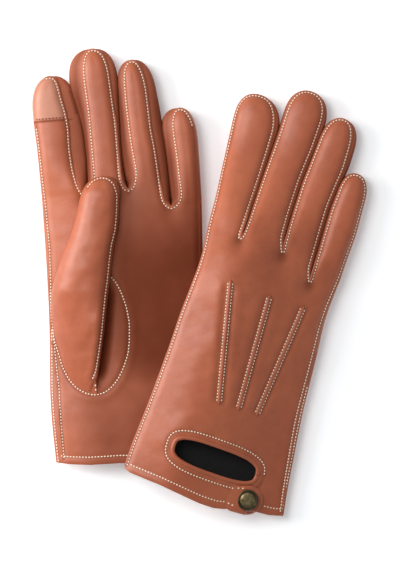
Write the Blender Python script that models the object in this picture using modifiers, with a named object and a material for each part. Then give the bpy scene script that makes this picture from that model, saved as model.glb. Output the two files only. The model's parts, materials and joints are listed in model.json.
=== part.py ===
"""A pair of leather touchscreen gloves lying flat, as separate panels, linings and snap pieces.

Each glove is drawn in its own flat frame: u across the hand (index side negative), v from the
cuff to the fingertips, and w out of the back of the hand. rest_height() then lays it down: the
left glove palm up, and the right glove back up with its cuff over the left one.
Everything is in metres, with +Z up.
"""

import math

import bmesh
import bpy
import numpy as np
from mathutils import Matrix, Vector

# Leather, lining and the clearances between pieces
LEATHER = 0.0010
LINING = 0.0006
CLEARANCE = 0.0003
LINING_GAP = 0.0008
SEAM_GAP = 0.0004
JOINT_GAP = 0.0005

# Hand
KNUCKLE_V = 0.140
HAND_STATIONS = (0.0, 0.045, 0.085, 0.115, KNUCKLE_V)
HAND_THICKNESS = (0.0130, 0.0165, 0.0180, 0.0175, 0.0160)
HEM_SAG = 0.0045
LENS_OUT, LENS_UP = 2.4, 0.7
HAND_ROWS = 9
HAND_COLUMNS = 12

# Fingers
FINGER_THICKNESS = 0.0150
FINGERTIP_THICKNESS = 0.0130
FINGER_GAP = 0.0008
FINGER_SQUARENESS = 2.6
FOURCHETTE_ANGLE = math.radians(42)
FOURCHETTE_TIP_ANGLE = math.radians(16)
FOURCHETTE_END = 0.88
FOURCHETTE_NARROWS = 0.55
SEAM_CLOSES = 0.02
STRIP_ENDS_BEFORE = 0.005
STRIP_CLEARANCE = 2.2 * SEAM_GAP
TIP_ROUNDING = 1.15
FINGER_ROWS = (0.0, 0.3, 0.55, 0.75, 0.88, 0.90, 0.955, 0.985, 1.0)
FINGER_COLUMNS = 5
TOUCH_TIP_LENGTH = 0.027
TOUCH_ROW_GAP = 0.02

# Thumb
THUMB_HINGE_V = 0.106
THUMB_BASE_U = -0.0275
THUMB_BASE_WIDTH = 0.0340
THUMB_TIP_UV = (-0.0095, 0.1775)
THUMB_TIP_WIDTH = 0.0250
THUMB_TIP_THICKNESS = 0.0080
THUMB_OVER_PALM = 0.0008
THUMB_ROOT_LIP = 0.0012
THUMB_HOLE_UV = (-0.0235, 0.0750)
THUMB_HOLE_RADII = (0.0205, 0.0270)

# Vent, tab and snap, on the back near the cuff
VENT_UV = (0.0, 0.0235)
VENT_LENGTH = 0.0510
VENT_WIDTH = 0.0155
VENT_SQUARENESS = 3.0
BINDING_RADIUS = 0.0011
BINDING_POINTS = 36
TAB_ROOT_U = 0.0080
SLIT_WIDTH = 0.0090
PAST_HEM = 0.0040
CUTTER_REACH = 0.0200
CUTTER_MARGIN = 0.0010
LINING_VENT_MARGIN = 0.0012
SNAP_UV = (0.0262, 0.0078)
TAB_RADIUS = 0.0080
TAB_RISE = 0.0034
CAP_RADIUS = 0.00625
CAP_HEIGHT = 0.0024
BRASS_THICKNESS = 0.0004
STUD_HEIGHT = 0.0012
STUD_FOOT_THICKNESS = 0.0006
SOCKET_RADIUS = 0.0046
SHANK_RADIUS = 0.0014
STUD_RADIUS = 0.0019

FINGER_NAMES = ("index", "middle", "ring", "little")

# Each glove's outline: the hand's two edges at HAND_STATIONS, the cuts between the fingers on the
# knuckle line, and each fingertip as (its left edge, its right edge, its top).
GLOVES = {
    "left": {
        "palm_up": True,
        "cuff": (0.0, 0.0),
        "turn": math.radians(4.4),
        "thumb_thickness": 0.0130,
        "pressed": 0.45,
        "index_edge": (-0.0500, -0.0504, -0.0482, -0.0472, -0.0468),
        "little_edge": (0.0495, 0.0475, 0.0460, 0.0458, 0.0470),
        "cuts": (-0.0468, -0.0228, 0.0014, 0.0252, 0.0470),
        "tips": (
            (-0.0465, -0.0215, 0.2385),
            (-0.0205, 0.0032, 0.2535),
            (0.0044, 0.0270, 0.2450),
            (0.0282, 0.0486, 0.2145),
        ),
    },
    "right": {
        "palm_up": False,
        "cuff": (0.0364, -0.0172),
        "turn": math.radians(-16.8),
        "thumb_thickness": 0.0085,
        "pressed": 0.0,
        "index_edge": (-0.0498, -0.0480, -0.0467, -0.0443, -0.0423),
        "little_edge": (0.0493, 0.0458, 0.0431, 0.0402, 0.0413),
        "cuts": (-0.0423, -0.0212, 0.0012, 0.0226, 0.0413),
        "tips": (
            (-0.0460, -0.0230, 0.2400),
            (-0.0218, 0.0040, 0.2515),
            (0.0052, 0.0274, 0.2415),
            (0.0284, 0.0426, 0.2130),
        ),
    },
}

# How far each glove's middle layer lies above the table. The left cuff is raised clear of its own
# snap cap, and the right glove by the stack under it, which nests because both edges are thin.
LYING_GAP = 0.0006
NESTING = 0.0020
LEFT_HAND_HEIGHT = (max(HAND_THICKNESS) + SEAM_GAP) / 2 + LYING_GAP
CUFF_THINNER = (max(HAND_THICKNESS) - HAND_THICKNESS[0]) / 2
LEFT_CUFF_RAISE = TAB_RISE + CAP_HEIGHT - CUFF_THINNER
RIGHT_LOW_HEIGHT = FINGER_THICKNESS / 2 + LYING_GAP
RIGHT_RAISE = max(HAND_THICKNESS) + GLOVES["right"]["thumb_thickness"] - NESTING

COLOURS = {
    "leather": ((0.45, 0.125, 0.062, 1), 0.42, 0.0),
    "touch_leather": ((0.54, 0.22, 0.14, 1), 0.45, 0.0),
    "lining": ((0.012, 0.009, 0.008, 1), 0.9, 0.0),
    "brass": ((0.23, 0.17, 0.09, 1), 0.38, 1.0),
}


# ---------------------------------------------------------------- scene

def clear_scene():
    for thing in list(bpy.data.objects):
        bpy.data.objects.remove(thing, do_unlink=True)


def collection_named(name, hidden=False):
    group = bpy.data.collections.new(name)
    bpy.context.scene.collection.children.link(group)
    group.hide_render = hidden
    return group


def material_named(name):
    if name in bpy.data.materials:
        return bpy.data.materials[name]
    colour, roughness, metallic = COLOURS[name]
    made = bpy.data.materials.new(name)
    made.use_nodes = True
    shader = made.node_tree.nodes["Principled BSDF"]
    shader.inputs["Base Color"].default_value = colour
    shader.inputs["Roughness"].default_value = roughness
    shader.inputs["Metallic"].default_value = metallic
    made.diffuse_color = colour
    return made


def body_empty(name, parent, place):
    """The empty that a moving body hangs from, at a place on its joint's axis."""
    empty = bpy.data.objects.new(name, None)
    PARTS.objects.link(empty)
    empty.empty_display_size = 0.01
    if parent is not None:
        empty.parent = parent
        empty.location = Vector(place) - ORIGINS[parent.name]
    ORIGINS[name] = Vector(place)
    return empty


def add_object(name, mesh, body, material):
    """A mesh in world coordinates becomes a node that hangs from its body's empty."""
    mesh.transform(Matrix.Translation(-ORIGINS[body.name]))
    node = bpy.data.objects.new(name, mesh)
    node.parent = body
    PARTS.objects.link(node)
    mesh.materials.append(material_named(material))
    mesh.shade_smooth()
    mesh.set_sharp_from_angle(angle=math.radians(40))
    return node


# ---------------------------------------------------------------- grids

def mix(a, b, t):
    return a + (b - a) * t


def smoothstep(low, high, x):
    t = min(max((x - low) / (high - low), 0.0), 1.0)
    return t * t * (3 - 2 * t)


def grid(rows, columns, point):
    """point(row, column) for each pair of them."""
    return np.array([[point(r, c) for c in columns] for r in rows])


def wall(name, outer, inner, ring=False, pole=False):
    """A closed mesh between two grids of points. ring joins the last column to the first, and pole
    means that the last row is one point."""
    rows, columns = outer.shape[:2]
    mesh = bmesh.new()
    layers = [[[mesh.verts.new(p) for p in row] for row in layer] for layer in (outer, inner)]
    steps = columns if ring else columns - 1

    def quad(*corners):
        if len(set(corners)) == len(corners):
            mesh.faces.new(corners)

    for r in range(rows - 1):
        for c in range(steps):
            d = (c + 1) % columns
            for layer, turn in ((layers[0], 1), (layers[1], -1)):
                quad(*(layer[r][c], layer[r][d], layer[r + 1][d], layer[r + 1][c])[::turn])
    ends = [0] if pole else [0, rows - 1]
    for r in ends:
        for c in range(steps):
            d = (c + 1) % columns
            quad(layers[0][r][c], layers[0][r][d], layers[1][r][d], layers[1][r][c])
    if not ring:
        for c in (0, columns - 1):
            for r in range(rows - 1):
                quad(layers[0][r][c], layers[0][r + 1][c], layers[1][r + 1][c], layers[1][r][c])
    if pole:
        for layer in layers:
            bmesh.ops.pointmerge(mesh, verts=layer[-1], merge_co=layer[-1][0].co)
    bmesh.ops.recalc_face_normals(mesh, faces=mesh.faces)
    made = bpy.data.meshes.new(name)
    mesh.to_mesh(made)
    mesh.free()
    return made


def superellipse(angle, squareness):
    c, s = math.cos(angle), math.sin(angle)
    power = 2 / squareness
    return math.copysign(abs(c) ** power, c), math.copysign(abs(s) ** power, s)


# ---------------------------------------------------------------- laying a glove down

def rest_height(glove, u, v):
    """Height of the glove's middle layer over the table, which drapes it over what is under it."""
    if glove["palm_up"]:
        return LEFT_HAND_HEIGHT + LEFT_CUFF_RAISE * (1 - smoothstep(0.020, 0.070, v))
    over_left = 1 - smoothstep(-0.030, 0.048, u)
    towards_cuff = 1 - smoothstep(0.120, 0.225, v)
    return RIGHT_LOW_HEIGHT + RIGHT_RAISE * over_left * towards_cuff


def laid(glove, u, v, w):
    """World place of a point of the glove's own frame."""
    c, s = math.cos(glove["turn"]), math.sin(glove["turn"])
    x, y = glove["cuff"]
    up = -w if glove["palm_up"] else w
    return (x + u * c - v * s, y + u * s + v * c, rest_height(glove, u, v) + up)


# ---------------------------------------------------------------- hand

def hand_edges(glove, v):
    """u of the middle line, and half the width, at v."""
    low = np.interp(v, HAND_STATIONS, glove["index_edge"])
    high = np.interp(v, HAND_STATIONS, glove["little_edge"])
    return (low + high) / 2, (high - low) / 2


def hand_rise(glove, across, v, inset=0.0):
    """Height over the middle layer. The margin that another glove lies on is pressed flatter."""
    rise = np.interp(v, HAND_STATIONS, HAND_THICKNESS) / 2
    pressed = smoothstep(-0.1, 0.8, across) * (1 - smoothstep(0.110, KNUCKLE_V, v))
    rise *= 1 - glove["pressed"] * pressed
    return (rise - inset) * (1 - abs(across) ** LENS_OUT) ** LENS_UP


def hand_point(glove, across, along, inset, side, gap=SEAM_GAP / 2):
    """across runs from -1 at the index edge to 1, along from the hem to the knuckles, and side is
    1 on the back and -1 on the palm."""
    v = mix(HEM_SAG * across ** 2, KNUCKLE_V, along)
    middle, half = hand_edges(glove, v)
    w = side * (gap + hand_rise(glove, across, v, inset))
    return middle + (half - inset) * across, v, w


def hand_top(glove, u, v, side=1):
    """w of the outer surface over (u, v)."""
    middle, half = hand_edges(glove, v)
    across = min(max((u - middle) / half, -1), 1)
    return side * (SEAM_GAP / 2 + hand_rise(glove, across, v))


def hand_columns(count):
    return [-math.cos(math.pi * c / count) for c in range(count + 1)]


def add_hand_panel(side_name, glove, body, name, side):
    rows = np.linspace(0, 1, HAND_ROWS)
    columns = hand_columns(HAND_COLUMNS)
    layers = [
        grid(rows, columns, lambda r, c: laid(glove, *hand_point(glove, c, r, inset, side)))
        for inset in (0.0, LEATHER)
    ]
    return add_object(f"{side_name}_{name}", wall(name, *layers), body, "leather")


def add_hand_lining(side_name, glove, body):
    rows = np.linspace(0, 1, HAND_ROWS)
    rows[0] = 0.012
    inset = LEATHER + LINING_GAP
    columns = 16

    def point(r, c, more):
        angle = 2 * math.pi * c / columns
        side = 1 if math.sin(angle) >= 0 else -1
        return laid(glove, *hand_point(glove, math.cos(angle), r, inset + more, side, gap=0))

    layers = [grid(rows, range(columns), lambda r, c: point(r, c, more)) for more in (0.0, LINING)]
    mesh = wall("hand_lining", *layers, ring=True)
    return add_object(f"{side_name}_hand_lining", mesh, body, "lining")


# ---------------------------------------------------------------- cutters

def add_prism(name, glove, body, outline, low, high):
    """A cutter that stands through the glove over a closed outline of (u, v) points."""
    mesh = bmesh.new()
    rings = []
    for w in (low, high):
        rings.append([mesh.verts.new(laid(glove, u, v, w)) for u, v in outline])
    count = len(outline)
    for i in range(count):
        j = (i + 1) % count
        mesh.faces.new((rings[0][i], rings[0][j], rings[1][j], rings[1][i]))
    mesh.faces.new(rings[0][::-1])
    mesh.faces.new(rings[1])
    bmesh.ops.triangulate(mesh, faces=mesh.faces)
    bmesh.ops.recalc_face_normals(mesh, faces=mesh.faces)
    made = bpy.data.meshes.new(name)
    mesh.to_mesh(made)
    mesh.free()
    made.transform(Matrix.Translation(-ORIGINS[body.name]))
    cutter = bpy.data.objects.new(name, made)
    cutter.parent = body
    cutter.hide_render = True
    cutter.display_type = "WIRE"
    CUTTERS.objects.link(cutter)
    return cutter


def oval(centre, length, width, squareness, count):
    found = []
    for i in range(count):
        x, y = superellipse(2 * math.pi * (i + 0.5) / count, squareness)
        found.append((centre[0] + x * length / 2, centre[1] + y * width / 2))
    return found


def cut(node, cutter):
    modifier = node.modifiers.new(cutter.name, "BOOLEAN")
    modifier.operation = "DIFFERENCE"
    modifier.object = cutter


# ---------------------------------------------------------------- fingers

def finger_point(glove, number, angle, along, inset, lift=0.0):
    """A point of a finger's tube at an angle about its middle line: 0 on the little finger's side,
    90 degrees on the back. along runs from the knuckle line to the tip."""
    left_tip, right_tip, top = glove["tips"][number]
    left = glove["cuts"][number] + (FINGER_GAP / 2 if number else 0)
    right = glove["cuts"][number + 1] - (FINGER_GAP / 2 if number < 3 else 0)
    start = KNUCKLE_V + JOINT_GAP
    v = mix(start, top - inset, along)
    taper = (v - start) / (top - start)
    low, high = mix(left, left_tip, taper), mix(right, right_tip, taper)
    half = (high - low) / 2 - inset
    rounding = TIP_ROUNDING * (right_tip - left_tip) / 2
    beyond = max((v - (top - rounding)) / (rounding - inset), 0.0)
    shrink = math.sqrt(max(1 - min(beyond, 1.0) ** 2, 0.0))
    thick = mix(FINGER_THICKNESS, FINGERTIP_THICKNESS, taper) / 2 - inset
    x, y = superellipse(angle, FINGER_SQUARENESS)
    return (low + high) / 2 + half * shrink * x, v, thick * shrink * y + lift


def seam_angle(along):
    """Angle of the seam between a fourchette and the panel over it, closing to 0 at its end."""
    if along >= FOURCHETTE_END + SEAM_CLOSES:
        return 0.0
    narrowing = max(along - FOURCHETTE_NARROWS, 0) / (FOURCHETTE_END - FOURCHETTE_NARROWS)
    return mix(FOURCHETTE_ANGLE, FOURCHETTE_TIP_ANGLE, min(narrowing, 1) ** 2)


def finger_wall(glove, number, name, rows, limits, columns, lift=0.0, pole=True):
    """A strip of a finger's tube between the two angles that limits(along) gives."""
    def point(r, c, inset):
        low, high = limits(r)
        angle = mix(low, high, c / columns)
        return laid(glove, *finger_point(glove, number, angle, r, inset, lift))

    layers = [
        grid(rows, range(columns + 1), lambda r, c: point(r, c, inset)) for inset in (0.0, LEATHER)
    ]
    return wall(name, *layers, pole=pole)


def add_finger(side_name, glove, body, number):
    finger = FINGER_NAMES[number]
    prefix = f"{side_name}_{finger}"
    has_left, has_right = number > 0, number < 3
    rows = FINGER_ROWS

    def back_limits(r):
        return (seam_angle(r) if has_right else 0, math.pi - (seam_angle(r) if has_left else 0))

    def front_limits(r):
        return (math.pi + (seam_angle(r) if has_left else 0),
                2 * math.pi - (seam_angle(r) if has_right else 0))

    back = finger_wall(glove, number, "back", rows, back_limits, FINGER_COLUMNS, SEAM_GAP / 2)
    add_object(f"{prefix}_back", back, body, "leather")

    if finger == "index":
        length = glove["tips"][number][2] - KNUCKLE_V - JOINT_GAP
        seam = 1 - TOUCH_TIP_LENGTH / length
        half_gap = SEAM_GAP / 2 / length
        front_rows = [r for r in rows if r < seam - TOUCH_ROW_GAP] + [seam - half_gap]
        touch_rows = [seam + half_gap] + [r for r in rows if r > seam + TOUCH_ROW_GAP]
        front = finger_wall(
            glove, number, "front", front_rows, front_limits, FINGER_COLUMNS, -SEAM_GAP / 2, False)
        touch = finger_wall(
            glove, number, "touch", touch_rows, front_limits, FINGER_COLUMNS, -SEAM_GAP / 2)
        add_object(f"{side_name}_touch_tip", touch, body, "touch_leather")
    else:
        front = finger_wall(
            glove, number, "front", rows, front_limits, FINGER_COLUMNS, -SEAM_GAP / 2)
    add_object(f"{prefix}_front", front, body, "leather")

    strip_rows = [r for r in rows if r < FOURCHETTE_END] + [FOURCHETTE_END - STRIP_ENDS_BEFORE]
    for present, middle, where in ((has_left, math.pi, "index_side"), (has_right, 0.0, "little_side")):
        if not present:
            continue

        def strip_limits(r):
            reach = seam_angle(r) - STRIP_CLEARANCE / FINGER_THICKNESS
            return (middle - reach, middle + reach)

        strip = finger_wall(glove, number, "strip", strip_rows, strip_limits, 2, 0.0, False)
        add_object(f"{prefix}_fourchette_{where}", strip, body, "leather")

    columns = 10

    def lining_point(r, c, more):
        angle = 2 * math.pi * (c + 0.5) / columns
        inset = LEATHER + LINING_GAP + more
        return laid(glove, *finger_point(glove, number, angle, r, inset))

    lining_rows = [r for r in rows if r != FOURCHETTE_END]
    layers = [
        grid(lining_rows, range(columns), lambda r, c: lining_point(r, c, more))
        for more in (0.0, LINING)
    ]
    lining = wall("lining", *layers, ring=True, pole=True)
    add_object(f"{prefix}_lining", lining, body, "lining")


def finger_axis(glove, number):
    """A point on the finger's hinge: the lowest place, on the palm's side, of its open end."""
    u = (glove["cuts"][number] + glove["cuts"][number + 1]) / 2
    ends = [
        laid(glove, *finger_point(glove, number, math.pi * (1 + c / 12), 0.0, 0.0, -SEAM_GAP / 2))[2]
        for c in range(13)
    ]
    x, y, _ = laid(glove, u, KNUCKLE_V + JOINT_GAP, 0)
    return (x, y, max(ends) if glove["palm_up"] else min(ends))


# ---------------------------------------------------------------- thumb

def thumb_middle(glove, along):
    """(u, v, w) of the thumb's middle line, which lies on the palm."""
    u = mix(THUMB_BASE_U, THUMB_TIP_UV[0], along)
    v = mix(THUMB_HINGE_V + JOINT_GAP, THUMB_TIP_UV[1], along)
    palm = SEAM_GAP / 2 + max(HAND_THICKNESS) / 2 + THUMB_OVER_PALM
    return u, v, -(palm + glove["thumb_thickness"] / 2)


def thumb_point(glove, angle, along, inset):
    """A point of the thumb's free tube: 90 degrees is the side that faces away from the palm."""
    u, v, w = thumb_middle(glove, along)
    start = THUMB_HINGE_V + JOINT_GAP
    length = THUMB_TIP_UV[1] - start
    v = start + (length - inset) * along
    taper = (v - start) / length
    half = mix(THUMB_BASE_WIDTH, THUMB_TIP_WIDTH, taper) / 2 - inset
    tip_thickness = min(THUMB_TIP_THICKNESS, glove["thumb_thickness"])
    thick = mix(glove["thumb_thickness"], tip_thickness, taper) / 2 - inset
    rounding = TIP_ROUNDING * THUMB_TIP_WIDTH / 2
    beyond = max((v - (start + length - rounding)) / (rounding - inset), 0.0)
    shrink = math.sqrt(max(1 - min(beyond, 1.0) ** 2, 0.0))
    x, y = superellipse(angle, FINGER_SQUARENESS)
    return u + half * shrink * x, v, w - thick * shrink * y


def thumb_ramp_point(glove, angle, along, inset):
    """A point of the set-in root: a loft from the oval in the palm to the thumb's open end."""
    hole_u, hole_v = THUMB_HOLE_UV
    radius_u, radius_v = THUMB_HOLE_RADII
    c, s = math.cos(angle), math.sin(angle)
    u0 = hole_u + (radius_u + THUMB_ROOT_LIP - inset) * c
    v0 = hole_v - (radius_v + THUMB_ROOT_LIP - inset) * s
    w0 = hand_top(glove, u0, v0, -1) - THUMB_OVER_PALM
    u1, v1, w1 = thumb_point(glove, angle, 0.0, inset)
    v1 = THUMB_HINGE_V
    rise = math.sin(along * math.pi / 2)
    return mix(u0, u1, along), mix(v0, v1, along), mix(w0, w1, rise)


def add_thumb(side_name, glove, hand, body):
    columns = 12
    angles = [2 * math.pi * (c + 0.5) / columns for c in range(columns)]
    rows = [0.0, 0.35, 0.7, 0.85, 0.95, 1.0]
    leather = [
        grid(rows, angles, lambda r, a: laid(glove, *thumb_point(glove, a, r, inset)))
        for inset in (0.0, LEATHER)
    ]
    add_object(f"{side_name}_thumb", wall("thumb", *leather, ring=True, pole=True), body, "leather")
    first = LEATHER + LINING_GAP
    lining = [
        grid(rows, angles, lambda r, a: laid(glove, *thumb_point(glove, a, r, inset)))
        for inset in (first, first + LINING)
    ]
    mesh = wall("thumb_lining", *lining, ring=True, pole=True)
    add_object(f"{side_name}_thumb_lining", mesh, body, "lining")
    ramp_rows = np.linspace(0, 1, 5)
    root = [
        grid(ramp_rows, angles, lambda r, a: laid(glove, *thumb_ramp_point(glove, a, r, inset)))
        for inset in (0.0, LEATHER)
    ]
    add_object(f"{side_name}_thumb_base", wall("thumb_base", *root, ring=True), hand, "leather")


def thumb_axis(glove):
    """A point on the thumb's hinge, on the side of its open end that faces away from the palm."""
    u, v, w = thumb_point(glove, math.pi / 2, 0.0, 0.0)
    heights = [laid(glove, *thumb_point(glove, math.pi * c / 12, 0.0, 0.0))[2] for c in range(13)]
    x, y, _ = laid(glove, u, THUMB_HINGE_V + JOINT_GAP, 0)
    return (x, y, max(heights) if glove["palm_up"] else min(heights))


# ---------------------------------------------------------------- vent, tab and snap

def vent_outline(grown=0.0, count=28):
    length, width = VENT_LENGTH + 2 * grown, VENT_WIDTH + 2 * grown
    return oval(VENT_UV, length, width, VENT_SQUARENESS, count)


def slit_outline():
    """The gap in the back panel from the oval to the hem, under the tab."""
    low, high = TAB_ROOT_U, TAB_ROOT_U + SLIT_WIDTH
    return [(low, -PAST_HEM), (high, -PAST_HEM), (high, VENT_UV[1]), (low, VENT_UV[1])]


def tab_edges(u):
    """The tab's lower and upper edges at u: straight, then round about the snap."""
    across = min(max((u - SNAP_UV[0]) / TAB_RADIUS, 0.0), 1.0)
    reach = TAB_RADIUS * math.sqrt(1 - across ** 2)
    upper = SNAP_UV[1] + reach
    lower = SNAP_UV[1] - min(reach, SNAP_UV[1] - 0.0002)
    return lower, upper


def tab_point(glove, along, across, w_more):
    start = TAB_ROOT_U + JOINT_GAP
    end = SNAP_UV[0] + TAB_RADIUS * 0.98
    u = mix(start, end, along)
    lower, upper = tab_edges(u)
    v = mix(lower, upper, across)
    rise = TAB_RISE * smoothstep(start, SNAP_UV[0] - SOCKET_RADIUS, u)
    return u, v, hand_top(glove, u, v) + rise + w_more


def snap_matrix(glove):
    """Place and tilt of the snap: its z axis stands square on the back of the cuff."""
    u, v = SNAP_UV
    step = 0.002
    level = hand_top(glove, u, v)
    here = Vector(laid(glove, u, v, level))
    right = Vector(laid(glove, u + step, v, hand_top(glove, u + step, v))) - here
    ahead = Vector(laid(glove, u, v + step, hand_top(glove, u, v + step))) - here
    z_axis = right.cross(ahead).normalized()
    if glove["palm_up"]:
        z_axis = -z_axis
    x_axis = (right - z_axis * right.dot(z_axis)).normalized()
    y_axis = z_axis.cross(x_axis)
    turned = Matrix((x_axis, y_axis, z_axis)).transposed().to_4x4()
    return Matrix.Translation(here) @ turned


def add_turned(name, glove, body, profile, material="brass"):
    """A piece turned about the snap's axis, from a profile of (radius, height) points."""
    mesh = bpy.data.meshes.new(name)
    edges = [(i, i + 1) for i in range(len(profile) - 1)]
    mesh.from_pydata([(r, 0, z) for r, z in profile], edges, [])
    node = bpy.data.objects.new(name, mesh)
    node.parent = body
    node.matrix_local = Matrix.Translation(-ORIGINS[body.name]) @ snap_matrix(glove)
    PARTS.objects.link(node)
    mesh.materials.append(material_named(material))
    screw = node.modifiers.new("turn", "SCREW")
    screw.steps = screw.render_steps = 14
    screw.use_merge_vertices = True
    screw.merge_threshold = 0.00001
    return node


def add_snap(side_name, glove, hand, tab):
    under = TAB_RISE - LEATHER
    top = TAB_RISE + CLEARANCE
    cap = [
        (0, top + CAP_HEIGHT), (CAP_RADIUS * 0.45, top + CAP_HEIGHT * 0.93),
        (CAP_RADIUS * 0.8, top + CAP_HEIGHT * 0.62), (CAP_RADIUS, top + CAP_HEIGHT * 0.2),
        (CAP_RADIUS * 0.96, top), (SHANK_RADIUS, top), (SHANK_RADIUS, under - CLEARANCE - BRASS_THICKNESS),
        (0, under - CLEARANCE - BRASS_THICKNESS),
    ]
    add_turned(f"{side_name}_snap_cap", glove, tab, cap)
    socket_top = under - CLEARANCE
    socket_low = BRASS_THICKNESS
    bore = STUD_RADIUS + CLEARANCE
    socket = [
        (SHANK_RADIUS + CLEARANCE, socket_top), (SOCKET_RADIUS, socket_top),
        (SOCKET_RADIUS, socket_low + 0.0003), (SOCKET_RADIUS * 0.9, socket_low),
        (bore, socket_low), (bore, socket_top - BRASS_THICKNESS),
        (SHANK_RADIUS + CLEARANCE, socket_top - BRASS_THICKNESS), (SHANK_RADIUS + CLEARANCE, socket_top),
    ]
    add_turned(f"{side_name}_snap_socket", glove, tab, socket)
    stud = [
        (0, STUD_HEIGHT), (STUD_RADIUS * 0.8, STUD_HEIGHT), (STUD_RADIUS, STUD_HEIGHT - 0.0004),
        (SHANK_RADIUS, 0.0003),
        (SHANK_RADIUS, -LEATHER - CLEARANCE), (SOCKET_RADIUS * 0.8, -LEATHER - CLEARANCE),
        (SOCKET_RADIUS * 0.8, -LEATHER - CLEARANCE - STUD_FOOT_THICKNESS),
        (0, -LEATHER - CLEARANCE - STUD_FOOT_THICKNESS),
    ]
    add_turned(f"{side_name}_snap_stud", glove, hand, stud)


def add_shank_cutter(name, glove, body):
    mesh = bmesh.new()
    bmesh.ops.create_cone(
        mesh, cap_ends=True, segments=14, radius1=SHANK_RADIUS + CLEARANCE,
        radius2=SHANK_RADIUS + CLEARANCE, depth=0.014,
    )
    made = bpy.data.meshes.new(name)
    mesh.to_mesh(made)
    mesh.free()
    cutter = bpy.data.objects.new(name, made)
    cutter.parent = body
    cutter.matrix_local = Matrix.Translation(-ORIGINS[body.name]) @ snap_matrix(glove)
    cutter.hide_render = True
    cutter.display_type = "WIRE"
    CUTTERS.objects.link(cutter)
    return cutter


def add_tab(side_name, glove, tab):
    rows = np.linspace(0, 1, 9)
    columns = np.linspace(0, 1, 5)
    layers = [
        grid(rows, columns, lambda r, c: laid(glove, *tab_point(glove, r, c, w)))
        for w in (0.0, -LEATHER)
    ]
    node = add_object(f"{side_name}_snap_tab", wall("snap_tab", *layers), tab, "leather")
    cut(node, add_shank_cutter(f"{side_name}_tab_shank_cutter", glove, tab))


def add_binding(side_name, glove, hand):
    """The rolled edge of the oval, a tube that stops at both sides of the slit."""
    inside = -(BINDING_RADIUS + CLEARANCE)
    outline = vent_outline(inside, BINDING_POINTS)
    low, high = TAB_ROOT_U - BINDING_RADIUS, TAB_ROOT_U + SLIT_WIDTH + BINDING_RADIUS
    over_slit = [low < u < high and v < VENT_UV[1] for u, v in outline]
    first = next(i for i in range(BINDING_POINTS) if over_slit[i - 1] and not over_slit[i])
    order = [(first + i) % BINDING_POINTS for i in range(BINDING_POINTS)]
    kept = [outline[i] for i in order if not over_slit[i]]
    curve = bpy.data.curves.new("vent_binding", "CURVE")
    curve.dimensions = "3D"
    curve.bevel_depth = BINDING_RADIUS
    curve.bevel_resolution = 1
    curve.use_fill_caps = True
    spline = curve.splines.new("POLY")
    spline.points.add(len(kept) - 1)
    for point, (u, v) in zip(spline.points, kept):
        level = hand_top(glove, u, v) - BINDING_RADIUS
        place = Vector(laid(glove, u, v, level)) - ORIGINS[hand.name]
        point.co = (*place, 1)
    node = bpy.data.objects.new(f"{side_name}_vent_binding", curve)
    node.parent = hand
    PARTS.objects.link(node)
    curve.materials.append(material_named("leather"))


def tab_axis(glove):
    """A point on the tab's hinge, level with the top of the leather at its root."""
    ends = [laid(glove, *tab_point(glove, 0.0, c / 4, 0.0)) for c in range(5)]
    high = [p[2] for p in ends]
    x, y, _ = laid(glove, TAB_ROOT_U + JOINT_GAP, SNAP_UV[1], 0)
    return (x, y, min(high) if glove["palm_up"] else max(high))


# ---------------------------------------------------------------- a whole glove

def add_glove(side_name, hand):
    glove = GLOVES[side_name]
    back = add_hand_panel(side_name, glove, hand, "back_panel", 1)
    palm = add_hand_panel(side_name, glove, hand, "palm_panel", -1)
    lining = add_hand_lining(side_name, glove, hand)

    vent = add_prism(f"{side_name}_vent_cutter", glove, hand, vent_outline(), 0.0, CUTTER_REACH)
    slit = add_prism(f"{side_name}_slit_cutter", glove, hand, slit_outline(), 0.0, CUTTER_REACH)
    stud_hole = add_shank_cutter(f"{side_name}_stud_cutter", glove, hand)
    hole = [
        (THUMB_HOLE_UV[0] + THUMB_HOLE_RADII[0] * math.cos(a),
         THUMB_HOLE_UV[1] + THUMB_HOLE_RADII[1] * math.sin(a))
        for a in (2 * math.pi * (i + 0.5) / 28 for i in range(28))
    ]
    thumb_hole = add_prism(f"{side_name}_thumb_cutter", glove, hand, hole, -CUTTER_REACH, 0.0)
    for cutter in (vent, slit, stud_hole):
        cut(back, cutter)
    cut(palm, thumb_hole)
    lining_vent = add_prism(
        f"{side_name}_lining_vent_cutter", glove, hand, vent_outline(LINING_VENT_MARGIN), 0.0, CUTTER_REACH)
    low = slit_outline()[0][0] - CUTTER_MARGIN
    high = SNAP_UV[0] + SOCKET_RADIUS + CUTTER_MARGIN
    under_snap = [(low, -PAST_HEM), (high, -PAST_HEM), (high, VENT_UV[1]), (low, VENT_UV[1])]
    lining_slit = add_prism(f"{side_name}_lining_slit_cutter", glove, hand, under_snap, 0.0, CUTTER_REACH)
    for cutter in (lining_vent, lining_slit, thumb_hole):
        cut(lining, cutter)
    add_binding(side_name, glove, hand)

    for number, finger in enumerate(FINGER_NAMES):
        place = finger_axis(glove, number)
        add_finger(side_name, glove, body_empty(f"{side_name}_{finger}_joint", hand, place), number)
    add_thumb(side_name, glove, hand, body_empty(f"{side_name}_thumb_joint", hand, thumb_axis(glove)))
    tab = body_empty(f"{side_name}_tab_joint", hand, tab_axis(glove))
    add_tab(side_name, glove, tab)
    add_snap(side_name, glove, hand, tab)


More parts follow.
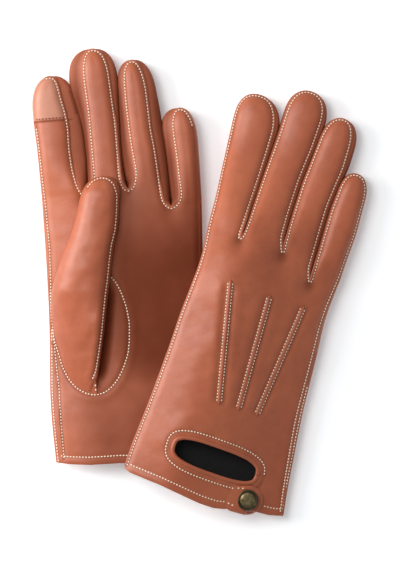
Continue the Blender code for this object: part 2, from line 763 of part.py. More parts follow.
def stand_on_origin(root):
    """Moves the pair so that the origin is under the middle of its bounding box, on the table."""
    bpy.context.view_layer.update()
    graph = bpy.context.evaluated_depsgraph_get()
    points = []
    for node in PARTS.objects:
        if node.type in ("MESH", "CURVE"):
            seen = node.evaluated_get(graph)
            points += [seen.matrix_world @ vertex.co for vertex in seen.to_mesh().vertices]
            seen.to_mesh_clear()
    low = [min(p[i] for p in points) for i in range(3)]
    high = [max(p[i] for p in points) for i in range(3)]
    root.location = (-(low[0] + high[0]) / 2, -(low[1] + high[1]) / 2, -low[2])
    bpy.context.view_layer.update()


clear_scene()
PARTS = collection_named("touchscreen_gloves")
CUTTERS = collection_named("cutters", hidden=True)
ORIGINS = {}
root = body_empty("left_hand", None, (0, 0, 0))
add_glove("left", root)
cuff_x, cuff_y = GLOVES["right"]["cuff"]
add_glove("right", body_empty("right_hand", root, (cuff_x, cuff_y, 0)))
stand_on_origin(root)
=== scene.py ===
# %% [markdown]
# # A pair of leather touchscreen gloves
#
# The pair lies flat. The left glove shows its palm, with the thumb folded over it. The right
# glove shows its back, and its cuff lies over the left one. Each glove is drawn in its own flat
# frame, in millimetres: u runs across the hand from the index finger's side, v from the cuff to
# the fingertips, and h up towards the viewer. lay() then puts a glove where the CAD model has it.

import json
import math

import bmesh
import bpy
import numpy as np
from mathutils import Matrix, Vector
from mathutils.bvhtree import BVHTree


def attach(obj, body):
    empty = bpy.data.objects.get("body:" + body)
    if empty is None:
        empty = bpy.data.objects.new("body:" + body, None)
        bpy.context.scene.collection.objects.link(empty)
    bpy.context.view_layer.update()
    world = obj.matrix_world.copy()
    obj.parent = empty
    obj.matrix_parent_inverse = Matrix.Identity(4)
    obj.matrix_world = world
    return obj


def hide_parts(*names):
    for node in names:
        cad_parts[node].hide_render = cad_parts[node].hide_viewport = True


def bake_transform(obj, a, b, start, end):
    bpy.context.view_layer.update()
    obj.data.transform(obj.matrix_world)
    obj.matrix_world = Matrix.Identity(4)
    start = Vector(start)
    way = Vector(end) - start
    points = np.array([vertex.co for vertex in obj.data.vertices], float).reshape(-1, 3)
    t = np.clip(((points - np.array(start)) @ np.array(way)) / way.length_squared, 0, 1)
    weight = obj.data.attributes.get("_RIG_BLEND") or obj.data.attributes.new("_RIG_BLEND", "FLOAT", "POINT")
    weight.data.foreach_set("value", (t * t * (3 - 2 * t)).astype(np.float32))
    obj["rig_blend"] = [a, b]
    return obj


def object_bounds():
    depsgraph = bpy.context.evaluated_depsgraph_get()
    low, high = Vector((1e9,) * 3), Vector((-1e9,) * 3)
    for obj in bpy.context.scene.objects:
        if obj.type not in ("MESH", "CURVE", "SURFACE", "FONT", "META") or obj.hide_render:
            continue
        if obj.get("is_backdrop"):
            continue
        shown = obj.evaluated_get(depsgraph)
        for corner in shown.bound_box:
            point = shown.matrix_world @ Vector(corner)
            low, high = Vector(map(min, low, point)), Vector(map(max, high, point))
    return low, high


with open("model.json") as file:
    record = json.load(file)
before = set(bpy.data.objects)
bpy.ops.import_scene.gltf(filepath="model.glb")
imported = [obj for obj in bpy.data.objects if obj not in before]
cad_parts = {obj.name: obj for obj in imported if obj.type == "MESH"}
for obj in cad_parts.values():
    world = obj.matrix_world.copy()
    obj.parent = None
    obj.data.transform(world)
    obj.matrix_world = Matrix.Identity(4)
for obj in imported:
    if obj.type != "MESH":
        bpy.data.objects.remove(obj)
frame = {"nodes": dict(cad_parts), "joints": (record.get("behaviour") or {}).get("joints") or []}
cad_low, cad_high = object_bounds()
JOINTS = {joint["name"]: joint for joint in frame["joints"]}


def smoothstep(low, high, x):
    t = np.clip((np.asarray(x, float) - low) / (high - low), 0, 1)
    return t * t * (3 - 2 * t)


def mix(a, b, t):
    return a + (b - a) * t


# %% [markdown]
# ## The pattern
#
# A glove maker cuts each panel from a card pattern. These lists are that pattern: the hand's two
# edges, the crotches between the fingers, and for each finger the edges of its tube (outer) and
# of the panel that faces the viewer (panel). Each number pair is (v, u).

# %% Pattern of both gloves
GLOVES = {
    "left": {
        "palm_up": True,
        "turn": math.radians(4.4),
        "pressed": 0.45,
        "edges": (
            ((6, -49.9), (34, -50.7), (52, -50.5), (82, -48.4), (100, -47.5), (130, -46.8),
             (166, -46.6)),
            ((0, 49.5), (45, 47.5), (85, 46.0), (115, 45.8), (130, 47.0), (159, 48.6)),
        ),
        "hem": ((-50, 9.3), (-42, 7.8), (-30, 6.6), (-12, 6.4), (-6, 6.0), (1, 2.5), (8, -1.5),
                (14, -0.5), (20, 1.5), (30, 2.8), (42, 3.1), (50, 4.8)),
        "crotches": ((-46.6, 166), (-20.2, 166), (5.4, 167.8), (30.2, 155.6), (48.6, 155.6)),
        "fingers": (
            {"tip": (-35.2, 239.4), "round": 217,
             "outer": (((166, -46.6), (178, -46.8), (196, -47.2), (214, -48.2), (240, -48.2)),
                       ((166, -20.2), (172, -18.7), (188, -17.9), (206, -18.6), (221, -21),
                        (240, -23))),
             "panel": (None,
                       ((166, -20.2), (170, -23), (174, -24.4), (183, -26.1), (195, -27),
                        (207, -26.7),
                        (216, -27.6), (225, -29.4), (240, -30.5)))},
            {"tip": (-10.3, 253.8), "round": 234,
             "outer": (((166, -20.2), (172, -18.3), (188, -17.5), (206, -18.4), (215, -20.6),
                        (228, -24), (254, -25)),
                       ((167.8, 5.4), (176, 3.6), (183, 2.8), (198, 2.6), (231, 3.8), (254, 3))),
             "panel": (((166, -20.2), (171, -16.5), (176, -15.3), (194, -15.5), (215, -15.7),
                        (233, -16.8), (254, -17.4)),
                       ((167.8, 5.4), (168.8, 3.2), (176, 1.7), (208, 1.6), (220, 0.8), (238, -0.2),
                        (254, -1)))},
            {"tip": (13.6, 245.4), "round": 227,
             "outer": (((167.8, 5.4), (176, 3.9), (183, 3.2), (198, 3), (231, 4.3), (246, 4.6)),
                       ((155.6, 30.2), (164, 30), (172, 29.9), (196, 28.8), (214.6, 27.4),
                        (228, 25.8), (246, 24.6))),
             "panel": (((167.8, 5.4), (169.4, 8.2), (176, 9.7), (180, 9.8), (192, 8.4), (204, 7.6),
                        (219, 6.9), (246, 7)),
                       ((155.6, 30.2), (157, 27.6), (160.5, 26), (170, 25.2), (191, 23.8),
                        (203, 22.3), (224, 21.5), (246, 20)))},
            {"tip": (38.4, 214.6), "round": 198,
             "outer": (((155.6, 30.2), (166, 30.3), (180, 30.2), (196, 29.1), (205, 27.9),
                        (215, 27.2)),
                       ((155.6, 48.6), (177, 49), (195, 49.2), (204, 48.6), (215, 48))),
             "panel": (((155.6, 30.2), (156.8, 33), (159.5, 35), (164, 35.8), (172, 35.2),
                        (184, 34.8), (205, 33.4), (215, 33.4)),
                       None)},
        ),
    },
    "right": {
        "palm_up": False,
        "turn": math.radians(-16.8),
        "pressed": 0.0,
        "edges": (
            ((6, -49.6), (19, -49.2), (32, -48.1), (48, -46.7), (70, -45.3), (86, -44.5),
             (102, -44.2),
             (118, -42.9), (136, -41.6), (146, -42.1), (155, -43)),
            ((6, 49.3), (20, 47.3), (35, 45.8), (50, 44.3), (68, 42.6), (93, 41.4), (106, 40.7),
             (118, 39.6), (129, 39.4), (142.6, 40.6)),
        ),
        "hem": ((-50, 6.1), (-46.5, 4.7), (-27, 3), (-1, -1), (8, -1.5), (14, -0.5), (20, 1.5),
                (30, 2.8), (42, 3.1), (50, 4.8)),
        "crotches": ((-43, 155.2), (-23.6, 155.2), (3.5, 154.6), (24.1, 142.6), (40.6, 142.6)),
        "fingers": (
            {"tip": (-36.2, 241.4), "round": 222,
             "outer": (((155, -43), (162, -43.5), (174, -43.9), (192, -45.3), (208, -46.4),
                        (223, -47.6), (242, -48)),
                       ((155.2, -23.6), (165, -21.9), (181, -21.6), (193, -21.1), (209, -20.7),
                        (226, -20.1), (242, -20.4))),
             "panel": (None,
                       ((155.2, -23.6), (158, -23), (166, -22.7), (177, -22.5), (188, -22.1),
                        (200, -21.9), (212, -21.7),
                        (221, -21.7), (229, -22), (242, -22.2)))},
            {"tip": (-7.8, 252.2), "round": 234,
             "outer": (((155.2, -23.6), (160, -22.4), (168, -21.7), (181, -21.4), (195, -20.9),
                        (206, -20.5), (226, -19.7), (253, -19.5)),
                       ((154.6, 3.5), (163, 2.2), (176, 1.9), (187, 2.1), (199, 2.4), (210, 3.5),
                        (221, 4.4), (234, 5.3), (253, 5.6))),
             "panel": (((155.2, -23.6), (158, -22.2), (168, -21.3), (181, -20.9), (195, -20.4),
                        (206, -19.9), (225, -18.9), (253, -18.6)),
                       ((154.6, 3.5), (163, 1.2), (176, 0.9), (187, 1.1), (199, 1.4), (210, 2.4),
                        (221, 3.5), (253, 4.8)))},
            {"tip": (15.6, 242.3), "round": 225,
             "outer": (((154.6, 3.5), (163, 2.4), (176, 2.1), (187, 2.3), (199, 2.6), (210, 3.7),
                        (221, 4.5), (242, 5.8)),
                       ((142.6, 24.1), (150, 22.9), (178, 22.8), (189, 22.8), (197, 23.6),
                        (205, 24.6), (214, 26.4), (242, 26.6))),
             "panel": (((154.6, 3.5), (158, 2.9), (176, 2.7), (187, 2.9), (199, 3.1), (210, 4),
                        (221, 4.9), (242, 6.4)),
                       ((142.6, 24.1), (150, 22.2), (178, 22), (189, 22), (197, 22.8), (205, 23.7),
                        (214, 24.8), (242, 24.6)))},
            {"tip": (32.6, 213), "round": 200,
             "outer": (((142.6, 24.1), (150, 23.1), (178, 23), (189, 23), (197, 23.8), (205, 24.8),
                        (213, 25)),
                       ((142.6, 40.6), (150, 41.3), (159, 41.5), (178, 42.6), (191, 42.1),
                        (200, 41.8), (213, 41.2))),
             "panel": (((142.6, 24.1), (150, 24), (178, 23.9), (189, 24), (197, 24.6), (213, 25.6)),
                       None)},
        ),
    },
}
FINGERS = ("index", "middle", "ring", "little")
TOP_SEAM = 212.4  # v of the straight seam below the touch tip
TURNED_UNDER = 203  # below this v the left glove's outer seam lies underneath

# The thumb, folded over the palm: its two edges, and its height over the palm, by v
THUMB_LEFT = ((47.5, -23.6), (49.2, -28.8), (52.6, -34), (58.4, -38.4), (66, -41.4), (74, -43.1),
              (82, -45),
              (91, -46), (100, -46.4), (112, -45.1), (121, -42), (135, -35.6), (144, -30.8),
              (161, -24.6), (178, -22.5))
THUMB_RIGHT = ((47.5, -22.2), (56, -21.6), (62, -20.2), (71, -18.2), (83, -15.5), (94.5, -13.4),
               (106, -11.3),
               (115, -9.4), (127, -7.3), (136, -5.4), (145, -2.5), (154, -1.1), (166, 0.3),
               (178, 0.6))
THUMB_HEIGHT = {
    "left": ((47.5, 0.2), (56, 2.6), (70, 6.6), (90, 10), (110, 12), (135, 12.6), (160, 12),
             (178, 11)),
    "right": ((47.5, 0.2), (56, 2), (70, 4.5), (90, 6.5), (110, 7.6), (135, 7.8), (160, 7.6),
              (178, 7)),
}
THUMB_TIP = (-9.4, 177.2)
THUMB_ROUND = 162
THUMB_SEAM = ((-24.4, 57), (-22, 62), (-19.9, 70.8), (-17.2, 82.7), (-15.1, 94.5), (-13, 106.4),
              (-11.1, 115.3), (-9, 127.1),
              (-7.1, 136), (-4.2, 144.8), (-2.8, 153.7), (-1.5, 165), (-2.8, 171.4), (-6, 175),
              (-10.5, 176), (-15, 174.4), (-18.6, 170.6))
THUMB_OVAL = ((-11.5, 120), (-8, 116), (-5.9, 113.1), (-3.3, 106.9), (-1, 98.3), (0.1, 89.1),
              (-0.7, 78.4), (-1.9, 71.2),
              (-4.9, 63.6), (-9, 56.1), (-13.6, 51.1), (-18.1, 48.4), (-23.5, 47.4), (-28.8, 48.8),
              (-34, 52.2),
              (-38.6, 58), (-41.8, 65.6), (-43.6, 74), (-45.4, 81.8), (-46.4, 90.9))

# Back of the hand
VENT = (0.6, 25.7, 26.2, 8.4, 3.0)  # u, v, half length, half width, squareness
VENT_TILT = 0.065  # the oval leans down towards the snap
POINTS = (((-21.8, 128.7), (-7.1, 59.2)), ((3.2, 126.8), (4.8, 59)), ((24.6, 126.4), (16.2, 58.7)))
SNAP = (25.8, 8.3)
TAB_RADIUS = 9.2

HAND_V = (0, 45, 85, 115, 140)
HAND_HALF = (6.5, 8.25, 9.0, 8.75, 8.0)
FINGER_HALF = (7.5, 6.5)


# %% [markdown]
# ## Laying a glove down
#
# The CAD model leans each glove on the table and on what is under it. The same rule is used here,
# so that skin, seams and snaps move with the CAD model's joints without a gap.

# %% Laying
def rest_height(side, u, v):
    if side == "left":
        return 9.8 + 3.3 * (1 - smoothstep(20, 70, v))
    return 8.1 + 24.5 * (1 - smoothstep(-30, 48, u)) * (1 - smoothstep(120, 225, v))


def frame_of(side):
    """The origin of a glove's flat frame, in metres: the tab's hinge is at (8.5, 7.8) mm in it."""
    turn = GLOVES[side]["turn"]
    across = np.array([math.cos(turn), math.sin(turn)])
    along = np.array([-math.sin(turn), math.cos(turn)])
    hinge = np.array(JOINTS[f"{side}_tab_flap"]["pos_m"][:2], float)
    floor = JOINTS["left_index_curl"]["pos_m"][2] - 0.0098 - 0.0077
    origin = hinge - 0.0085 * across - 0.0078 * along
    return origin, across, along, floor


def lay(side, points):
    """Flat frame in millimetres to the world in metres."""
    points = np.asarray(points, float).reshape(-1, 3)
    origin, across, along, floor = frame_of(side)
    u, v, h = points.T
    ground = origin + 0.001 * (u[:, None] * across + v[:, None] * along)
    z = floor + 0.001 * (rest_height(side, u, v) + h)
    return np.column_stack([ground, z])


# %% Curves of the pattern
STEP = 0.5
BACK_EASE = 0.8  # how much narrower the back panels of the fingers are, so that their strips show


def pattern_curve(pairs, soft=2.5):
    """A smooth u(v) through (v, u) pairs."""
    v0, v1 = pairs[0][0], pairs[-1][0]
    grid_v = np.arange(v0, v1 + STEP, STEP)
    values = np.interp(grid_v, *np.array(pairs, float).T)
    reach = int(3 * soft / STEP)
    kernel = np.exp(-0.5 * (np.arange(-reach, reach + 1) * STEP / soft) ** 2)
    kernel /= kernel.sum()
    ends = (2 * values[0] - values[reach:0:-1], 2 * values[-1] - values[-2:-reach - 2:-1])
    if len(values) <= reach + 1:
        return lambda v: np.interp(v, grid_v, values)
    smooth = np.convolve(np.concatenate([ends[0], values, ends[1]]), kernel, mode="valid")
    smooth += (values[0] - smooth[0]) * np.exp(-(grid_v - v0) / 4)
    return lambda v: np.interp(v, grid_v, smooth)


for glove in GLOVES.values():
    glove["left_edge"], glove["right_edge"] = (pattern_curve(e, 5) for e in glove["edges"])
    for finger in glove["fingers"]:
        finger["S"] = [pattern_curve(e, 3) for e in finger["outer"]]
        low, high = finger["panel"]
        if high and not glove["palm_up"]:
            high = high[:1] + tuple((v, u - BACK_EASE) for v, u in high[1:])
        finger["P"] = [pattern_curve(e, 1.2) if e else s for e, s in zip((low, high), finger["S"])]


# %% [markdown]
# ## The skin
#
# A table-cut glove is a tube of two panels for the hand, and one tube for each finger with a strip
# (fourchette) down each side between the fingers. The mesh follows that: one ring of points
# round the hand, which splits at the crotches into one ring for each finger. Seams run along the
# mesh's own lines, so their folds stay crisp.

# %% Skin
HAND_ROWS = 120
FINGER_ROWS = 92
WALL_STEPS = 10
TIP_POWER = 2.45
PRESS = 0.55  # how far each finger's side bulges against its neighbour
COLUMNS = (26, 26, 26, 22)


def hand_half(side, across, v):
    """Half thickness of the hand at across -1 to 1."""
    rise = np.interp(v, HAND_V, HAND_HALF)
    rise = rise * (
        1 - GLOVES[side]["pressed"] * smoothstep(-0.1, 0.8, across) * (1 - smoothstep(110, 140, v))
    )
    knuckle = smoothstep(70, 150, v)
    return rise * (
        1 - np.abs(np.clip(across, -1, 1)) ** mix(2.4, 4.0, knuckle)
    ) ** mix(0.7, 0.6, knuckle)


def hand_at(side, u, v):
    glove = GLOVES[side]
    low, high = glove["left_edge"](v), glove["right_edge"](v)
    across = (u - (low + high) / 2) / ((high - low) / 2)
    return hand_half(side, across, v)


def hand_columns(glove):
    """across (-1 to 1) and v of the hand's columns, finger after finger."""
    cuts = glove["crotches"]
    found = []
    for f in range(4):
        t = np.linspace(0, 1, COLUMNS[f] + 1)
        if f == 0:
            t = mix(t, 1 - np.cos(t * math.pi / 2), 0.7)
        if f == 3:
            t = mix(t, np.sin(t * math.pi / 2), 0.7)
        (ua, va), (ub, vb) = cuts[f], cuts[f + 1]
        u = mix(ua, ub, t)
        v = mix(va, vb, t)
        low, high = glove["left_edge"](v), glove["right_edge"](v)
        across = (u - (low + high) / 2) / ((high - low) / 2)
        across[0] = -1 if f == 0 else across[0]
        across[-1] = 1 if f == 3 else across[-1]
        rows = np.column_stack([across, v])
        found.append(rows if f == 0 else rows[1:])
    return np.concatenate(found)


def hand_ring(side, s, columns, inset=0.0):
    """The points round the hand at s, 0 at the hem and 1 at the crotches: top, then bottom."""
    glove = GLOVES[side]
    across, end = columns.T
    hem_u = across * 50
    start = np.interp(hem_u, *np.array(glove["hem"], float).T)
    v = mix(start, end, s)
    low, high = glove["left_edge"](v), glove["right_edge"](v)
    u = (low + high) / 2 + ((high - low) / 2 - inset) * across
    rise = hand_half(side, across, v)
    if inset:
        rise = np.maximum(rise - inset, 0.12 * (1 - np.abs(across)))
    top = np.column_stack([u, v, rise])
    bottom = np.column_stack([u, v, -rise])[1:-1][::-1]
    return np.concatenate([top, bottom])


def finger_ring(side, f, k, columns):
    """The points round a finger at row k: top panel, right wall, bottom panel, left wall."""
    glove = GLOVES[side]
    finger = glove["fingers"][f]
    first = sum(COLUMNS[:f])
    span = columns[first:first + COLUMNS[f] + 1]
    tip_u, tip_v = finger["tip"]
    s = k / FINGER_ROWS
    s = mix(s, math.sin(s * math.pi / 2), 0.75)
    t = np.linspace(-1, 1, COLUMNS[f] + 1)
    if f == 0:
        t = 2 * mix((t + 1) / 2, 1 - np.cos((t + 1) / 2 * math.pi / 2), 0.7) - 1
    if f == 3:
        t = 2 * mix((t + 1) / 2, np.sin((t + 1) / 2 * math.pi / 2), 0.7) - 1

    def at(v, edge):
        """Both edges at v, drawn in towards the tip."""
        low, high = finger[edge][0](v), finger[edge][1](v)
        s_low, s_high = finger["S"][0](v), finger["S"][1](v)
        tau = np.clip((v - finger["round"]) / (tip_v - finger["round"]), 0, 1)
        shrink = (1 - tau ** TIP_POWER) ** (1 / TIP_POWER)
        centre = mix((s_low + s_high) / 2, tip_u, tau ** 1.5)
        old = (s_low + s_high) / 2
        return centre + (low - old) * shrink, centre + (high - old) * shrink, shrink

    v = mix(span[:, 1], tip_v, s)
    low, high, shrink = at(v, "P")
    full = at(v, "S")[2]
    u = mix(low, high, (t + 1) / 2)
    away = v - span[:, 1]
    thick = mix(FINGER_HALF[0], FINGER_HALF[1], s)
    edge = np.where(t < 0, 0.0 if f == 0 else 0.50, 0.0 if f == 3 else 0.50)
    body = edge + (1 - edge) * (1 - np.abs(t) ** 2.5) ** np.where(edge == 0, 0.62, 0.75)
    row0 = hand_half(side, span[:, 0], span[:, 1])
    settled = smoothstep(0, 26, away)
    rise = mix(row0, thick * body, settled) * full ** 0.85
    start_u = (glove["left_edge"](span[:, 1]) + glove["right_edge"](span[:, 1])) / 2 + \
        (glove["right_edge"](span[:, 1]) - glove["left_edge"](span[:, 1])) / 2 * span[:, 0]
    u = mix(start_u, u, smoothstep(0, 5, away)) if s < 1 else u
    top = np.column_stack([u, v, rise])
    bottom = np.column_stack([u, v, -rise])[::-1]

    def wall(column, edge_index):
        wall_v = v[column]
        *outer, narrowed = at(wall_v, "S")
        pressed = PRESS * narrowed * float(smoothstep(0, 9, wall_v - span[column, 1]))
        outer = outer[edge_index] + (pressed if edge_index else -pressed)
        q = np.arange(1, WALL_STEPS) / WALL_STEPS
        bulge = np.sin(q * math.pi) ** 0.6
        return np.column_stack([
            mix(u[column], outer, bulge), np.full_like(q, wall_v),
            rise[column] * np.cos(q * math.pi)])

    parts = [top]
    if f < 3:
        parts.append(wall(-1, 1))
        parts.append(bottom)
    else:
        parts.append(bottom[1:])
    if f > 0:
        parts.append(wall(0, 0)[::-1])
    else:
        parts[-1] = parts[-1][:-1]
    strip = np.concatenate([np.full(len(part),
                                    float(len(part) == WALL_STEPS - 1)) for part in parts])
    return np.column_stack([np.concatenate(parts), strip])


def ring_faces(rows, count, start, flip=False):
    """Quads between rows of a closed ring."""
    faces = []
    for r in range(rows - 1):
        a = start + r * count
        for c in range(count):
            d = (c + 1) % count
            quad = (a + c, a + d, a + count + d, a + count + c)
            faces.append(quad[::-1] if flip else quad)
    return faces


def build_skin(side):
    """Points, faces and the piece that each face belongs to."""
    glove = GLOVES[side]
    columns = hand_columns(glove)
    rows = [hand_ring(side, 0, columns, 1.5)]
    rows[0][:, 1] += 11
    for inset, back in ((1.5, 1.0), (1.35, 0.1), (0.8, -0.35), (0.25, -0.2)):
        ring = hand_ring(side, 0, columns, inset)
        ring[:, 1] += back
        rows.append(ring)
    rows += [hand_ring(side, s, columns) for s in np.linspace(0, 1, HAND_ROWS)]
    points = [np.column_stack([np.concatenate(rows), np.zeros(len(rows) * len(rows[0]))])]
    faces = ring_faces(len(rows), len(rows[0]), 0)
    tags = ["hand"] * len(faces)
    total = len(points[0])
    for f in range(4):
        rings = [finger_ring(side, f, k, columns) for k in range(FINGER_ROWS + 1)]
        made = ring_faces(len(rings), len(rings[0]), total)
        count = len(rings[0])
        over_seam = [side == "left" and f == 0 and i % count < COLUMNS[0] and rings[i // count][0, 1] > TOP_SEAM
                     for i in range(len(made))]
        points.append(np.concatenate(rings))
        total += len(points[-1])
        faces += made
        tags += ["touch" if over else FINGERS[f] for over in over_seam]
    return np.concatenate(points), faces, tags


def weld(points, faces, tags, within=0.02):
    keys = np.round(points[:, :3] / within).astype(np.int64)
    _, first, index = np.unique(keys, axis=0, return_index=True, return_inverse=True)
    index = index.reshape(-1)
    kept_faces, kept_tags = [], []
    for face, tag in zip(faces, tags):
        corners = []
        for i in face:
            j = int(index[i])
            if j not in corners:
                corners.append(j)
        if len(corners) > 2:
            kept_faces.append(corners)
            kept_tags.append(tag)
    return points[first], kept_faces, kept_tags


SKINS = {}
for side in GLOVES:
    SKINS[side] = weld(*build_skin(side))
    print(side, "skin", len(SKINS[side][0]), "points", len(SKINS[side][1]), "faces")


# %% [markdown]
# ## Seam lines
#
# Each panel is sewn a little inside its edge, and the two raw edges stand outside the stitches as a
# narrow rim: an outseam. panel_outline() walks round the whole outline once, up the index finger's
# side, round each finger and down to the hem, and gives the edge; the stitch row is set in from it
# by stitch_inset().

# %% Seam paths
def smooth_line(points, soft, spacing=0.6):
    """The polyline resampled evenly and rounded."""
    points = np.asarray(points, float)
    length = np.concatenate([[0], np.cumsum(np.linalg.norm(np.diff(points, axis=0), axis=1))])
    count = max(int(length[-1] / spacing), 4)
    at = np.linspace(0, length[-1], count)
    line = np.column_stack([np.interp(at, length, points[:, i]) for i in range(points.shape[1])])
    reach = int(3 * soft / spacing)
    if reach < 1 or len(line) < 2 * reach:
        return line
    kernel = np.exp(-0.5 * (np.arange(-reach, reach + 1) * spacing / soft) ** 2)
    kernel /= kernel.sum()
    padded = np.concatenate([2 * line[0] - line[reach:0:-1], line,
                             2 * line[-1] - line[-2:-reach - 2:-1]])
    return np.column_stack([np.convolve(padded[:, i], kernel,
                                        mode="valid") for i in range(line.shape[1])])


def offset_line(line, distance):
    """The line moved to its right by distance, which may vary along it."""
    tangent = np.gradient(line[:, :2], axis=0)
    tangent /= np.maximum(np.linalg.norm(tangent, axis=1), 1e-9)[:, None]
    right = np.column_stack([tangent[:, 1], -tangent[:, 0]])
    return line[:, :2] + right * np.asarray(distance).reshape(-1, 1)


def panel_outline(side):
    """The edge of the upper panel, from the hem's left corner round to its right one."""
    glove = GLOVES[side]
    hem = np.array(glove["hem"], float)
    crotch_v = [c[1] for c in glove["crotches"]]
    v = np.arange(hem[0, 1] + 1.5, crotch_v[0], 1.0)
    path = [np.column_stack([glove["left_edge"](v), v])]
    for f in range(4):
        finger = glove["fingers"][f]
        tip_u, tip_v = finger["tip"]

        def at(v, which, edge="P"):
            low, high = finger[edge][0](v), finger[edge][1](v)
            outer = (finger["S"][0](v) + finger["S"][1](v)) / 2
            tau = np.clip((v - finger["round"]) / (tip_v - finger["round"]), 0, 1)
            shrink = (1 - tau ** TIP_POWER) ** (1 / TIP_POWER)
            centre = mix(outer, tip_u, tau ** 1.5)
            return centre + ((low, high)[which] - outer) * shrink

        angle = np.linspace(0, math.pi / 2, 60)
        cap = finger["round"] + (tip_v - finger["round"]) * np.sin(angle)
        up = np.concatenate([np.arange(crotch_v[f], finger["round"], 0.8), cap])
        down = np.concatenate([cap[::-1], np.arange(finger["round"], crotch_v[f + 1], -0.8),
                               [crotch_v[f + 1]]])
        path.append(np.column_stack([at(up, 0), up]))
        path.append(np.column_stack([at(down, 1), down]))
    v = np.arange(crotch_v[4], hem[-1, 1] + 1.5, -1.0)
    path.append(np.column_stack([glove["right_edge"](v), v]))
    line = np.concatenate(path)
    keep = np.concatenate([[True], np.linalg.norm(np.diff(line, axis=0), axis=1) > 0.05])
    return smooth_line(line[keep], 0.7)


SEAM_INSET = {
    # v and inset of the stitch row from the edge, on the index side and on the little finger's side
    "left": (((0, 5), (52, 5.7), (84, 2.4), (105, 1.8), (136, 2.8), (178, 1.7), (250, 1.4)),
             ((0, 3), (250, 2))),
    "right": (((0, 1.0), (150, 0.8), (200, 0.7), (250, 0.9)),
              ((0, 2.2), (60, 3.6), (110, 2.8), (150, 1.7), (250, 1.2))),
}


def stitch_inset(side, line):
    left, right = (np.array(p, float) for p in SEAM_INSET[side])
    v = line[:, 1]
    inset = np.full(len(line), 1.3 if side == "left" else 0.95)
    first_tip = int(np.argmax((v > GLOVES[side]["fingers"][0]["tip"][1] - 2.4)))
    last_tip = len(line) - 1 - int(np.argmax((v > GLOVES[side]["fingers"][3]["tip"][1] - 2.4)[::-1]))
    inset[:first_tip] = np.interp(v[:first_tip], *left.T)
    inset[last_tip:] = np.interp(v[last_tip:], *right.T)
    return inset


OUTLINES = {side: panel_outline(side) for side in GLOVES}
STITCH_ROWS = {}
for side, line in OUTLINES.items():
    STITCH_ROWS[side] = smooth_line(offset_line(line, stitch_inset(side, line)), 1.3)
    print(side, "outline", len(line), "stitch row", len(STITCH_ROWS[side]))


# %% [markdown]
# ## Softening the skin
#
# Leather is pulled down along every row of stitches and swells beside it, so the skin is moved
# along h by its distance from the rows. Slow, shallow waves keep the large faces from looking
# like sheet metal.

# %% Vent oval, and distances
def oval_line(extra, count=160, centre=VENT):
    u, v, a, b, power = centre
    angle = np.linspace(0, 2 * math.pi, count, endpoint=False)
    c, s = np.cos(angle), np.sin(angle)
    x = np.sign(c) * np.abs(c) ** (2 / power) * (a + extra)
    y = np.sign(s) * np.abs(s) ** (2 / power) * (b + extra)
    return np.column_stack([u + x, v + y - VENT_TILT * x])


def inside_oval(u, v, extra=0.0):
    cu, cv, a, b, power = VENT
    v = v + VENT_TILT * (u - cu)
    return (
        np.abs((u - cu) / (a + extra)) ** power + np.abs((v - cv) / (b + extra)) ** power
    ) ** (1 / power)


def distance_to(points, line):
    """Distance in the flat from each point to a densely sampled line."""
    found = np.full(len(points), 1e3)
    for start in range(0, len(line), 64):
        part = line[start:start + 65]
        low, high = part.min(0) - 12, part.max(0) + 12
        near = np.flatnonzero(((points >= low) & (points <= high)).all(1))
        if len(near):
            gap = np.linalg.norm(points[near, None, :] - part[None], axis=2).min(1)
            found[near] = np.minimum(found[near], gap)
    return found


def waves(u, v, seed):
    """A slow, smooth unevenness."""
    rng = np.random.default_rng(seed)
    total = np.zeros_like(u)
    for length, height in ((46, 0.5), (27, 0.32), (15, 0.16), (8, 0.06)):
        for _ in range(4):
            angle, phase = rng.uniform(0, math.pi), rng.uniform(0, 2 * math.pi)
            stretch = rng.uniform(0.8, 1.3)
            total += height / 2 * np.sin(
                2 * math.pi * (u * math.cos(angle) + v * math.sin(angle)) / (length * stretch)
                + phase
            )
    return total


def bell(distance, width):
    """A smooth bump: 1 at no distance, close to nothing at twice the width."""
    return np.exp(-(distance / width) ** 2)


SEAM_GROOVE = -0.5  # millimetres, at the stitch row
SEAM_PUFF = 0.14  # the leather swells a little beside it
CROTCH_PULL = 1.9
PALM_CREASE = 1.3
HEM_ROW, HEM_FOLD = 4.4, 1.6  # the hem's stitches and its thickest line, above its edge
LEAST_HEIGHT = 0.05  # the two faces never cross
LIFT_OF_WAVES = 0.55
WAVE_SEEDS = {"left": 7, "right": 11}


